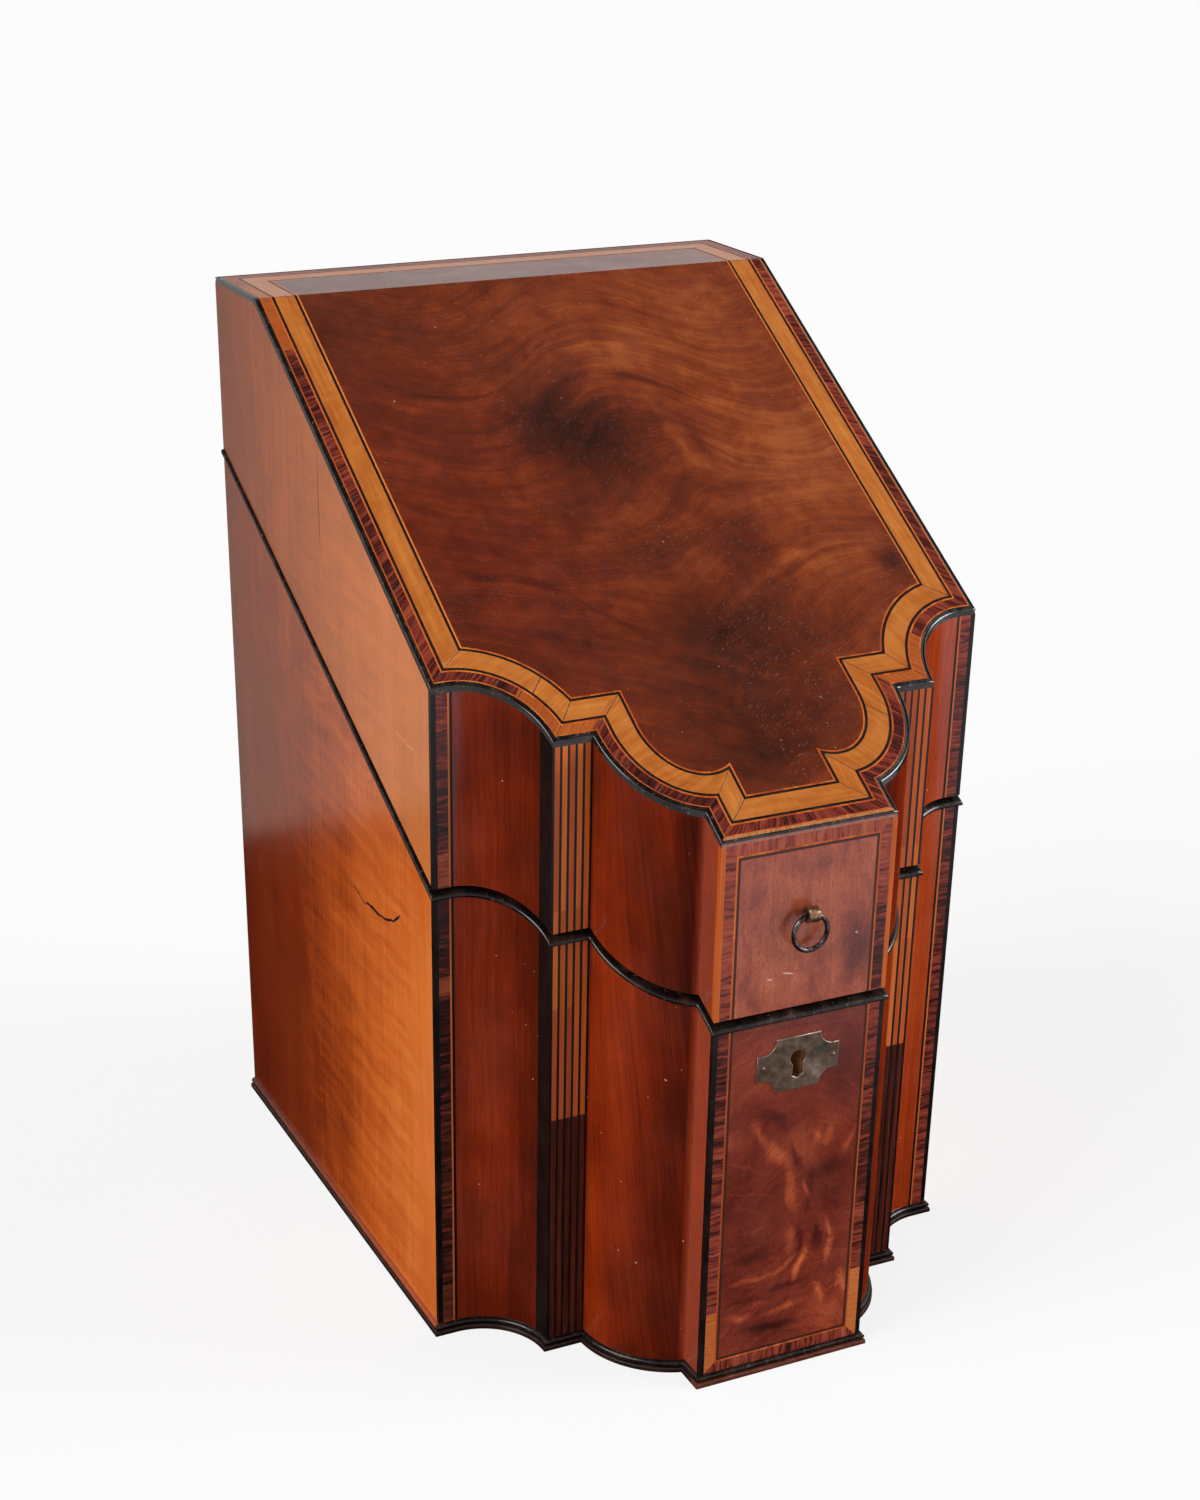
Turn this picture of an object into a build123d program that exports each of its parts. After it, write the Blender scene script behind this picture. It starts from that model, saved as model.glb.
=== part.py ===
from build123d import *
import os
from functools import lru_cache
from math import atan, atan2, cos, degrees, hypot, pi, sin, sqrt

# Knife box with a sloping hinged lid and a serpentine front: flat corner strips, coves, fluted
# pilasters, ovolos and a projecting centre block. Millimetres. +Z is up, +X to the right seen from
# the front and the front faces -Y. The origin is the middle of the case's footprint, on the underside.

# --- Case ---------------------------------------------------------------------------------------
WIDTH = 228.0             # over the side veneers
DEPTH = 299.0             # back face to the front of the centre block
HEIGHT = 375.0
TOP_FLAT = 49.0           # level part of the lid, measured from the back
SLOPE_FRONT_Z = 271.8     # height of the lid's slope over the corner strips
WALL = 10.0               # carcase and veneer together
VENEER = 1.0
TOP_BOARD = 8.0
BOTTOM_BOARD = 8.0

# --- Plan of the front, from the corner to the middle -------------------------------------------
BLOCK_PROJECTION = 74.0   # centre block in front of the corner strips
CORNER_FLAT = 7.0
COVE_R = 28.0
COVE_STOP = 1.0           # the cove ends this far short of a full quarter circle
FLUTES = 5
FLUTE_W = 2.0
FLUTE_LINE = 1.0
PILASTER_EDGE = 1.0
OVOLO_SWEEP = 0.84        # ovolo radius as a share of its chord
BLOCK_W = 72.0
BLOCK_RETURN = 12.2       # flat side of the centre block

# --- Joint between base and lid -----------------------------------------------------------------
LID_FRONT_Z = 194.3       # lower edge of the lid over the corner strips
LID_BACK_Z = 304.6        # lower edge of the lid at the back
GAP_FRONT = 2.0           # the lid stands off the rim at the corner strips
GAP_BACK = 0.3            # and nearly meets it at the back
BEAD = 2.2                # height of the rim bead
BEAD_OUT = 1.2            # its projection
BEAD_IN = 3.0             # how far it is let into the rim

# --- Plinth -------------------------------------------------------------------------------------
FILLET_H = 2.0
FILLET_OUT = 2.0
PLINTH_BEAD = 2.6
PLINTH_BEAD_OUT = 1.6

# --- Inlay --------------------------------------------------------------------------------------
STRING = 2.0              # square strings at the arrises
FINE_LINE = 0.5
BAND = 4.4                # crossbanding
BOX_LINE = 0.7
EBONY_LINE = 1.1
SATIN_BAND = 8.2
COVE_EDGE = 7.5           # ebony strip on the cove beside each pilaster
FLUTE_STOP_Z = 103.0      # the flutes turn dark below this height

# --- Fitted inside ------------------------------------------------------------------------------
FIT = 0.3                 # play round loose inner pieces
BOARD_T = 8.0
BOARD_DROP = 16.0         # top of the knife board below the rim
BATTEN = 8.0
LINING = 1.2
SLOT_W = 25.0
SLOT_D = 10.0
ROW_SHARES = (0.80, 0.58, 0.36, 0.13)   # rows of slots along the depth, from the front
ROW_SLOTS = (5, 5, 5, 3)
SLOT_PITCH = 39.0
SLOT_MARGIN = 1.6         # plain wood between a slot and its string

# --- Hinges -------------------------------------------------------------------------------------
HINGE_X = 62.0
HINGE_L = 38.0
LEAF_D = 8.0
LEAF_SCREW = 5.0          # screws this far in from the back face
LEAF_T = 1.4
BARREL_R = 2.4
BARREL_GAP = 0.2          # barrel to the back face
PIN_R = 1.0
PIN_PLAY = 0.05
KNUCKLES = 5
KNUCKLE_GAP = 0.3
SCREW_HEAD_R = 2.0
SCREW_R = 1.0
SCREW_L = 6.5

# --- Lock ---------------------------------------------------------------------------------------
LOCK_SIDE = 1.0           # between the lock and the block's walls
LOCK_D = 14.0
LOCK_BELOW_KEY = 14.0
LOCK_WALL = 1.2
KEY_DROP = 16.8           # keyhole below the rim at the front of the block
KEYHOLE_R = 3.2
KEYHOLE_SLOT_W = 4.2
KEYHOLE_SLOT_L = 8.4
KEY_PIN_R = 0.9
SELVEDGE_OVER = 7.0       # selvedge past each end of the lock
LOOP_END = 13.0           # link plate's loops from the ends of the lock
LOOP_T = 2.2
LOOP_W = 5.0
LOOP_L = 10.5
LOOP_EYE = 3.2
LOOP_EYE_DROP = 7.2
LOOP_PLAY = 0.7
BOLT_THROW = 5.0
BOLT_FINGER = 2.2
BOLT_POST = 3.0
BOLT_BAR_H = 5.0
BOLT_PLAY = 0.05
PLATE_T = 1.5

# --- Escutcheon and pull ------------------------------------------------------------------------
ESCUTCHEON_W = 34.6
ESCUTCHEON_H = 21.8
ESCUTCHEON_CUT = 5.6
ESCUTCHEON_TAB = 2.4
ESCUTCHEON_T = 1.2
ESCUTCHEON_PROUD = 0.5
ESCUTCHEON_LOW = 1.8      # plate's middle below the keyhole's head
ESCUTCHEON_PIN_R = 0.8
PIN_DOME_R = 1.2
PIN_DOME_H = 0.45
EYE_AT = 0.54             # height of the pull on the lid block, as a share of the block
EYE_OUT = 3.6
EYE_R = 3.1
EYE_BORE = 1.9
EYE_W = 4.4
EYE_SHANK = 0.95
RING_R = 6.95
RING_WIRE = 0.95

# --- Derived lines ------------------------------------------------------------------------------
Y_REAR = DEPTH / 2
Y_BLOCK = -DEPTH / 2
Y_CORNER = Y_BLOCK + BLOCK_PROJECTION
Y_PILASTER = Y_CORNER - COVE_R + COVE_STOP
Y_BREAK = Y_REAR - TOP_FLAT
COVE_X = WIDTH / 2 - CORNER_FLAT
PILASTER_W = FLUTES * FLUTE_W + (FLUTES - 1) * FLUTE_LINE + 2 * PILASTER_EDGE
PILASTER_OUT_X = COVE_X - sqrt(COVE_R ** 2 - COVE_STOP ** 2)
PILASTER_IN_X = PILASTER_OUT_X - PILASTER_W
INNER_X = WIDTH / 2 - WALL
SLOPE = (HEIGHT - SLOPE_FRONT_Z) / (Y_BREAK - Y_CORNER)
SLOPE_COS = cos(atan(SLOPE))
TILT = atan((LID_BACK_Z - LID_FRONT_Z) / (Y_REAR - Y_CORNER))
CLEAR = 20.0              # cutting solids run this far past the case
NEAR = Y_BLOCK - CLEAR
FAR = Y_REAR + CLEAR
LOCK_W = BLOCK_W - 2 * (WALL + LOCK_SIDE)
LOOP_X = LOCK_W / 2 - LOOP_END

# The ovolo passes through the pilaster's inner edge and the end of the block's flat side.
chord_x = PILASTER_IN_X - BLOCK_W / 2
chord_y = Y_PILASTER - (Y_BLOCK + BLOCK_RETURN)
chord = hypot(chord_x, chord_y)
OVOLO_R = OVOLO_SWEEP * chord
rise = sqrt(OVOLO_R ** 2 - chord ** 2 / 4)
OVOLO_X = (PILASTER_IN_X + BLOCK_W / 2) / 2 - rise * chord_y / chord
OVOLO_Y = (Y_PILASTER + Y_BLOCK + BLOCK_RETURN) / 2 + rise * chord_x / chord


def ground(y):
    return 0.0


def lid_line(y):
    """Lower edge of the lid in the side view."""
    return LID_FRONT_Z + (LID_BACK_Z - LID_FRONT_Z) * (y - Y_CORNER) / (Y_REAR - Y_CORNER)


def bead_line(y):
    """Top of the rim bead: the gap to the lid closes towards the back."""
    return lid_line(y) - GAP_BACK - (GAP_FRONT - GAP_BACK) * (Y_REAR - y) / (Y_REAR - Y_CORNER)


def rim_line(y):
    return bead_line(y) - BEAD


def lowered(line, depth):
    """The same line moved down square to itself."""
    return lambda y: line(y) - depth / cos(TILT)


def roof(depth):
    """Side view of the lid's top surface, moved in by `depth`: back, break and front points."""
    top = HEIGHT - depth
    front = SLOPE_FRONT_Z - depth / SLOPE_COS
    fold = Y_CORNER + (top - front) / SLOPE
    return [(FAR, top), (fold, top), (NEAR, front + (NEAR - Y_CORNER) * SLOPE)]


# --- Outline ------------------------------------------------------------------------------------
def curve_x(curve, y, side):
    cx, cy, a, b = curve
    return cx + side * a * sqrt(1 - ((y - cy) / b) ** 2)


def curve_y(curve, x, side):
    cx, cy, a, b = curve
    return cy + side * b * sqrt(1 - ((x - cx) / a) ** 2)


def bend(curve, start, end):
    """Arc of a circle, or of an ellipse where the inset is drawn on the slope."""
    cx, cy, a, b = curve
    first, last = [atan2((p[1] - cy) / b, (p[0] - cx) / a) % (2 * pi) for p in (start, end)]
    sweep = (last - first + pi) % (2 * pi) - pi
    steps = 2 if a == b else 8
    points = [start]
    for k in range(1, steps):
        t = first + sweep * k / steps
        points.append((cx + a * cos(t), cy + b * sin(t)))
    points.append(end)
    return ThreePointArc(*points) if a == b else Spline(*points)


@lru_cache(None)
def case(inset, rear=None, slant=1.0):
    """Upright prism of the case's plan drawn in by `inset`.

    `rear` gives the back its own inset. `slant` shortens the inset towards the front, so that a
    band drawn square to the edges on the slope keeps its width.
    """
    dy = inset * slant
    back = Y_REAR - (inset if rear is None else rear)
    side = WIDTH / 2 - inset
    pilaster = Y_PILASTER + dy
    block_x = BLOCK_W / 2 - inset
    cove = (COVE_X, Y_CORNER - COVE_R, COVE_R + inset, COVE_R + dy)
    ovolo = (OVOLO_X, OVOLO_Y, OVOLO_R - inset, OVOLO_R - dy)
    cove_end = (curve_x(cove, pilaster, -1), pilaster)
    ovolo_start = (curve_x(ovolo, min(pilaster, OVOLO_Y), 1), min(pilaster, OVOLO_Y))
    ovolo_end = (block_x, curve_y(ovolo, block_x, -1))
    shoulder = [cove_end, (ovolo_start[0], pilaster)]
    if pilaster > OVOLO_Y:
        shoulder.append(ovolo_start)    # straight on from the top of the ovolo
    front = [(0, back), (side, back)]
    if side > COVE_X:
        front += [(side, Y_CORNER + dy), (COVE_X, Y_CORNER + dy)]
    else:
        front += [(side, curve_y(cove, side, 1))]
    right = [Line(p, q) for p, q in zip(front, front[1:])]
    right.append(bend(cove, front[-1], cove_end))
    right += [Line(p, q) for p, q in zip(shoulder, shoulder[1:])]
    right.append(bend(ovolo, ovolo_start, ovolo_end))
    right.append(Line(ovolo_end, (block_x, Y_BLOCK + dy)))
    right.append(Line((block_x, Y_BLOCK + dy), (0, Y_BLOCK + dy)))
    left = [mirror(edge, about=Plane.YZ) for edge in right]
    return extrude(make_face(right + left), amount=HEIGHT + CLEAR, dir=(0, 0, 1))


def profile(points):
    """Solid running right across the box, from the (y, z) points of its side view."""
    return extrude(make_face(Plane.YZ * Polyline(*points, close=True)), amount=WIDTH, both=True)


def between(low, high):
    return profile([(NEAR, low(NEAR)), (FAR, low(FAR)), (FAR, high(FAR)), (NEAR, high(NEAR))])


def roof_layer(upper, lower):
    return profile(roof(upper) + roof(lower)[::-1])


def lid_space(low, depth):
    return profile([(NEAR, low(NEAR)), (FAR, low(FAR))] + roof(depth))


def cell(x0, x1, y0, y1, z0=-CLEAR, z1=HEIGHT + CLEAR):
    return Pos((x0 + x1) / 2, (y0 + y1) / 2, (z0 + z1) / 2) * Box(x1 - x0, y1 - y0, z1 - z0)


def group(*shapes):
    """Separate solids kept together as one named piece."""
    return Compound([solid for shape in shapes for solid in shape.solids()])


def pair(shape):
    return group(shape, mirror(shape, about=Plane.YZ))


def widths(*values):
    """Edges of bands laid side by side."""
    edges = [0.0]
    for value in values:
        edges.append(edges[-1] + value)
    return edges


parts = {}

# --- Carcase ------------------------------------------------------------------------------------
base_zone = between(ground, rim_line)
lid_zone = lid_space(lid_line, 0)
middle = (Y_REAR + Y_CORNER) / 2
corner_string = cell(WIDTH / 2 - STRING, WIDTH / 2, Y_CORNER, Y_CORNER + STRING)
block_string = cell(BLOCK_W / 2 - STRING, BLOCK_W / 2, Y_BLOCK, Y_BLOCK + STRING)
strings = pair(corner_string), pair(block_string)
arris = (case(0.0) - case(STRING, slant=SLOPE_COS)) & roof_layer(0, STRING)

wall = case(VENEER, rear=0.0) - case(WALL) - strings[0] - strings[1]
for half, zone in (("base", base_zone), ("lid", lid_space(lid_line, VENEER + TOP_BOARD))):
    shell = wall & zone
    side = shell & cell(INNER_X, WIDTH, NEAR, FAR)
    cuts = (BLOCK_W / 2 - VENEER, PILASTER_IN_X - VENEER, PILASTER_OUT_X - VENEER, INNER_X)
    parts[f"{half}_right_side"] = side
    parts[f"{half}_left_side"] = mirror(side, about=Plane.YZ)
    parts[f"{half}_back"] = shell & cell(-INNER_X, INNER_X, middle, FAR)
    parts[f"{half}_centre_block"] = shell & cell(-cuts[0], cuts[0], NEAR, middle)
    parts[f"{half}_ovolo_staves"] = pair(shell & cell(cuts[0], cuts[1], NEAR, middle))
    parts[f"{half}_pilasters"] = pair(shell & cell(cuts[1], cuts[2], NEAR, middle))
    parts[f"{half}_cove_staves"] = pair(shell & cell(cuts[2], cuts[3], NEAR, middle))

boards = (case(VENEER, rear=0.0) & roof_layer(VENEER, VENEER + TOP_BOARD)) - arris - strings[0] - strings[1]
parts["lid_top_board"] = boards & cell(-WIDTH, WIDTH, Y_BREAK, FAR)
parts["lid_slope_board"] = boards & cell(-WIDTH, WIDTH, NEAR, Y_BREAK)
parts["base_bottom"] = case(WALL) & cell(-WIDTH, WIDTH, NEAR, FAR, 0, BOTTOM_BOARD)

# --- Veneers and inlay of the upright faces -----------------------------------------------------
skin = case(0.0) - case(VENEER, rear=0.0) - strings[0] - strings[1]
top_skin = skin - arris
plinth_top = FILLET_H + PLINTH_BEAD
block_top = SLOPE_FRONT_Z + (Y_BLOCK - Y_CORNER) * SLOPE - STRING
block_inner = BLOCK_W / 2 - STRING
band_edges = widths(BAND, BOX_LINE, EBONY_LINE)


def block_panel(inset, half):
    """Front of the centre block inside a border open at the joint."""
    x = block_inner - inset
    low = plinth_top + inset if half == "base" else 0
    high = HEIGHT if half == "base" else block_top - inset
    return cell(-x, x, NEAR, Y_BLOCK + VENEER, low, high)


for half, zone, layer in (("base", base_zone, skin), ("lid", lid_zone, top_skin)):
    cover = layer & zone
    edge = WIDTH / 2 - STRING
    strip_x = [edge - w for w in band_edges]
    strip = [cover & cell(b, a, NEAR, Y_CORNER + VENEER + COVE_R / 4) for a, b in zip(strip_x, strip_x[1:])]
    parts[f"{half}_side_veneer"] = pair(cover & cell(edge, WIDTH, NEAR, FAR))

    panels = [block_panel(w, half) for w in band_edges]
    border = [cover & (a - b) for a, b in zip(panels, panels[1:])]
    parts[f"{half}_block_veneer"] = cover & panels[-1]

    flute_x = PILASTER_OUT_X - PILASTER_EDGE
    flutes = []
    for k in range(FLUTES):
        outer = flute_x - k * (FLUTE_W + FLUTE_LINE)
        flutes.append(cell(outer - FLUTE_W, outer, NEAR, Y_PILASTER + VENEER))
    pilaster_face = cell(PILASTER_IN_X, PILASTER_OUT_X, NEAR, Y_PILASTER + VENEER)
    cove_edge = cell(flute_x, PILASTER_OUT_X + CORNER_FLAT, NEAR, Y_PILASTER + COVE_EDGE)
    dark = cover & (pilaster_face + cove_edge)
    for flute in flutes:
        dark -= flute
    light = group(*[cover & flute for flute in flutes])

    shaped = cover & cell(BLOCK_W / 2 - VENEER, strip_x[-1], Y_BLOCK + STRING, middle)
    parts[f"{half}_shaped_veneer"] = pair(shaped - pilaster_face - cove_edge)
    upper = pair(light & cell(0, WIDTH, NEAR, FAR, FLUTE_STOP_Z if half == "base" else 0))
    parts[f"{half}_flutes"] = upper
    if half == "base":
        parts["base_stop_flutes"] = pair(light & cell(0, WIDTH, NEAR, FAR, -CLEAR, FLUTE_STOP_Z))
    cut = zone if half == "base" else lid_zone - arris
    corner, block = [piece & cut for piece in strings]
    parts[f"{half}_crossbanding"] = group(pair(strip[0]), border[0])
    if half == "base":
        parts["base_box_lines"] = group(pair(strip[1]), border[1])
        parts["base_ebony_inlay"] = group(pair(strip[2]), border[2], pair(dark), corner, block)
    else:
        parts["lid_box_lines"] = group(pair(strip[1]), border[1], block)
        parts["lid_ebony_inlay"] = group(pair(strip[2]), border[2], pair(dark), corner)

# --- Inlay of the lid's top ---------------------------------------------------------------------
top_edges = widths(STRING, FINE_LINE, BAND - FINE_LINE, BOX_LINE, EBONY_LINE, SATIN_BAND, EBONY_LINE, BOX_LINE)
leaf = roof_layer(0, VENEER)
outlines = [case(w, slant=SLOPE_COS) & leaf for w in top_edges[1:]]
fine, band, box_a, ebony_a, satin, ebony_b, box_b = [a - b for a, b in zip(outlines, outlines[1:])]
parts["lid_arris_string"] = arris
parts["lid_crossbanding"] = group(parts["lid_crossbanding"], band)
parts["lid_box_lines"] = group(parts["lid_box_lines"], fine, box_a, box_b)
parts["lid_ebony_inlay"] = group(parts["lid_ebony_inlay"], ebony_a, ebony_b)
parts["lid_satinwood_band"] = satin
parts["lid_flame_veneer"] = outlines[-1]

# --- Rim and plinth mouldings -------------------------------------------------------------------
def bead(low, high, projection, inner):
    """Rounded moulding in three steps round the front and the sides."""
    steps = ((0.0, 0.25, 0.6), (0.25, 0.75, 1.0), (0.75, 1.0, 0.6))
    layers = []
    for a, b, share in steps:
        lower = (lambda y, t=a: low(y) + (high(y) - low(y)) * t)
        upper = (lambda y, t=b: low(y) + (high(y) - low(y)) * t)
        layers.append(case(-projection * share, rear=0.0) & between(lower, upper))
    return layers[0] + layers[1] + layers[2] - inner


parts["rim_bead"] = bead(rim_line, bead_line, BEAD_OUT, case(BEAD_IN, rear=0.0))
parts["rim_veneer"] = (case(BEAD_IN, rear=0.0) - case(WALL)) & between(rim_line, bead_line)
parts["plinth_fillet"] = (case(-FILLET_OUT, rear=0.0) - case(0.0)) & cell(-WIDTH, WIDTH, NEAR, FAR, 0, FILLET_H)
parts["plinth_bead"] = bead(lambda y: FILLET_H, lambda y: plinth_top, PLINTH_BEAD_OUT, case(0.0))

# --- Knife board --------------------------------------------------------------------------------
board_top = lowered(rim_line, BOARD_DROP)
board_low = lowered(rim_line, BOARD_DROP + BOARD_T)
lock_back = Y_BLOCK + WALL + LOCK_D
board = case(WALL + FIT) & between(board_low, board_top)
board -= cell(-WIDTH, WIDTH, NEAR, lock_back + FIT)
slots = []
for share, count in zip(ROW_SHARES, ROW_SLOTS):
    y = Y_CORNER - COVE_R + share * (Y_REAR - Y_CORNER + COVE_R)
    for k in range(count):
        slots.append(((k - (count - 1) / 2) * SLOT_PITCH, y))


def slot_cell(x, y, margin):
    return cell(x - SLOT_W / 2 - margin, x + SLOT_W / 2 + margin, y - SLOT_D / 2 - margin, y + SLOT_D / 2 + margin)


string_depth = between(lowered(board_top, VENEER), lambda y: board_top(y) + 1)
frames = []
for x, y in slots:
    frame = slot_cell(x, y, SLOT_MARGIN + BOX_LINE) - slot_cell(x, y, SLOT_MARGIN)
    frames.append(frame & string_depth & between(board_low, board_top))
    board = board - slot_cell(x, y, 0) - frames[-1]
parts["knife_board"] = board
parts["board_stringing"] = group(*frames)
batten = cell(INNER_X - BATTEN, INNER_X, Y_CORNER + WALL + FIT, Y_REAR - WALL)
parts["board_battens"] = pair(batten & between(lowered(board_low, BATTEN), board_low))
parts["well_lining"] = case(WALL + FIT) & cell(-WIDTH, WIDTH, NEAR, FAR, BOTTOM_BOARD, BOTTOM_BOARD + LINING)


# --- Fixings ------------------------------------------------------------------------------------
def on_line(x, y, line, up):
    """Plane on a sloping edge: local X runs across the box and local Z stands square to the edge."""
    tilt = atan((line(FAR) - line(NEAR)) / (FAR - NEAR))
    normal = (0, -sin(tilt) * up, cos(tilt) * up)
    return Plane(origin=(x, y, line(y)), x_dir=(1, 0, 0), z_dir=normal)


def screw(plane):
    """Countersunk wood screw, head flush with the plane and shank below it."""
    head = Pos(0, 0, -SCREW_R / 2) * Cone(SCREW_R, SCREW_HEAD_R, SCREW_R)
    shank = Pos(0, 0, -SCREW_L / 2) * Cylinder(SCREW_R, SCREW_L)
    slit = Box(2 * SCREW_HEAD_R, SCREW_R / 2, SCREW_R)
    return plane * (head + shank - slit)


def carve(names, tools):
    for name in names:
        for tool in tools:
            parts[name] = parts[name] - tool


# --- Hinges -------------------------------------------------------------------------------------
hinge_y = Y_REAR + BARREL_R + BARREL_GAP
leaf_in = (BARREL_R + BARREL_GAP) / cos(TILT)
knuckle = (HINGE_L - (KNUCKLES - 1) * KNUCKLE_GAP) / KNUCKLES
leaves = {1: [], -1: []}
leaf_screws = {1: [], -1: []}
pins = []
for centre in (-HINGE_X, HINGE_X):
    axis = on_line(centre, hinge_y, lambda y: lid_line(y) - GAP_BACK / 2, 1)
    pins.append(axis * (Rot(0, 90, 0) * Cylinder(PIN_R, HINGE_L)))
    for up in (1, -1):
        face = up * GAP_BACK / 2 * cos(TILT)
        mid = face + up * LEAF_T / 2
        near_edge = BARREL_R + KNUCKLE_GAP
        reach = leaf_in + LEAF_D - near_edge
        plate = Pos(0, -near_edge - reach / 2, mid) * Box(HINGE_L, reach, LEAF_T)
        bore = Rot(0, 90, 0) * Cylinder(PIN_R + (PIN_PLAY if up == 1 else 0), HINGE_L + 1)
        for k in range(1 if up == 1 else 0, KNUCKLES, 2):
            x = -HINGE_L / 2 + knuckle / 2 + k * (knuckle + KNUCKLE_GAP)
            plate += Pos(x, 0, 0) * (Rot(0, 90, 0) * Cylinder(BARREL_R, knuckle))
            plate += Pos(x, -near_edge / 2, mid) * Box(knuckle, near_edge, LEAF_T)
        plate -= bore
        for share in (-0.34, 0.0, 0.34):
            spot = Pos(share * HINGE_L, -leaf_in - LEAF_SCREW, face)
            fixing = screw(axis * Plane(spot * Rot(180 if up == 1 else 0, 0, 0)))
            leaf_screws[up].append(fixing)
        leaves[up].append(axis * plate)
for up, names in ((1, ["lid_back"]), (-1, ["base_back", "rim_veneer"])):
    carve(names, leaves[up] + leaf_screws[up])
lid_leaves = group(*leaves[1])
base_leaves = group(*leaves[-1])
parts["hinge_upper_leaves"] = group(*[leaves[1][i] - Compound(leaf_screws[1][3 * i:3 * i + 3]) for i in (0, 1)])
parts["hinge_lower_leaves"] = group(*[leaves[-1][i] - Compound(leaf_screws[-1][3 * i:3 * i + 3]) for i in (0, 1)])
parts["hinge_upper_screws"] = group(*leaf_screws[1])
parts["hinge_lower_screws"] = group(*leaf_screws[-1])
parts["hinge_pins"] = group(*pins)

# --- Lock in the base block ---------------------------------------------------------------------
lock_front = Y_BLOCK + WALL
key_z = rim_line(Y_BLOCK) - KEY_DROP
lock_low = key_z - LOCK_BELOW_KEY
lock_mid = lock_front + LOCK_D * 0.32
selvedge_x = LOCK_W / 2 + SELVEDGE_OVER
loop_plane = on_line(0, lock_mid, lid_line, 1)


def loop(play):
    """Staple under the link plate, or with play the slot it drops into."""
    length = LOOP_L + play
    body = Pos(0, 0, -length / 2) * Box(LOOP_T + 2 * play, LOOP_W + 2 * play, length)
    if play:
        return body
    return body - Pos(0, 0, -LOOP_EYE_DROP) * Box(2 * LOOP_T, LOOP_EYE, LOOP_EYE)


eye = loop_plane.from_local_coords((0, 0, -LOOP_EYE_DROP))
tip = loop_plane.from_local_coords((0, LOOP_W / 2, -LOOP_L))
bar_top = eye.Z - LOOP_L + LOOP_EYE_DROP - LOOP_W / 2 * sin(TILT) - LOOP_PLAY
bar_low = bar_top - BOLT_BAR_H
lock_body = cell(-LOCK_W / 2, LOCK_W / 2, lock_front, lock_back, lock_low) & between(ground, rim_line)
inside = cell(-LOCK_W / 2 + LOCK_WALL, LOCK_W / 2 - LOCK_WALL, lock_front + LOCK_WALL, lock_back - LOCK_WALL,
              lock_low + LOCK_WALL)
ledge = cell(-LOCK_W / 2 + LOCK_WALL, LOCK_W / 2 - LOCK_WALL, lock_front + LOCK_WALL, lock_back - LOCK_WALL,
             bar_low - 2 * LOCK_WALL, bar_low - BOLT_PLAY)
ledge -= cell(-2 * BOLT_THROW, 2 * BOLT_THROW, NEAR, FAR)
key_pin_l = LOCK_D - LOCK_WALL
key_pin = Pos(0, lock_front + key_pin_l / 2, key_z) * (Rot(90, 0, 0) * Cylinder(KEY_PIN_R, key_pin_l))


def keyhole(y0, y1):
    """Round hole with a slot below it, cut from y0 to y1."""
    length = y1 - y0
    hole = Pos(0, (y0 + y1) / 2, key_z) * (Rot(90, 0, 0) * Cylinder(KEYHOLE_R, length))
    return hole + cell(-KEYHOLE_SLOT_W / 2, KEYHOLE_SLOT_W / 2, y0, y1, key_z - KEYHOLE_SLOT_L, key_z)


case_body = lock_body - inside + ledge - keyhole(lock_front - 1, lock_front + LOCK_WALL + 1) + key_pin
parts["lock_case"] = case_body

finger = cell(0, BOLT_THROW, eye.Y - BOLT_FINGER / 2, eye.Y + BOLT_FINGER / 2, eye.Z - BOLT_FINGER / 2,
              eye.Z + BOLT_FINGER / 2)
post = cell(-BOLT_POST, 0, eye.Y - BOLT_FINGER / 2, eye.Y + BOLT_FINGER / 2, bar_low, eye.Z + BOLT_FINGER / 2)
root = LOOP_T / 2 + LOOP_PLAY + BOLT_THROW
bolt = cell(-LOOP_X - root - BOLT_POST, LOOP_X - root, eye.Y - BOLT_FINGER / 2, eye.Y + BOLT_FINGER / 2, bar_low,
            bar_top)
for x in (-LOOP_X, LOOP_X):
    bolt += Pos(x - root, 0, 0) * (finger + post)
bolt -= cell(-BOLT_POST, BOLT_POST, NEAR, FAR, bar_low, bar_low + BOLT_BAR_H / 3)
parts["lock_bolt"] = bolt

selvedge = cell(-selvedge_x, selvedge_x, lock_front - BEAD_IN, lock_back) & between(rim_line, bead_line)
for x in (-LOOP_X, LOOP_X):
    selvedge -= Pos(x, 0, 0) * (loop_plane * loop(LOOP_PLAY))
selvedge_screws = []
for x in (-1, 1):
    at = x * (LOCK_W / 2 + SELVEDGE_OVER / 2)
    selvedge_screws.append(screw(on_line(at, lock_mid - BEAD_IN / 2, bead_line, 1)))
parts["lock_selvedge"] = selvedge
carve(["rim_veneer"], [cell(-selvedge_x, selvedge_x, lock_front - BEAD_IN, lock_back)])
carve(["lock_selvedge", "base_centre_block"], selvedge_screws)
parts["lock_screws"] = group(*selvedge_screws)

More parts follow.
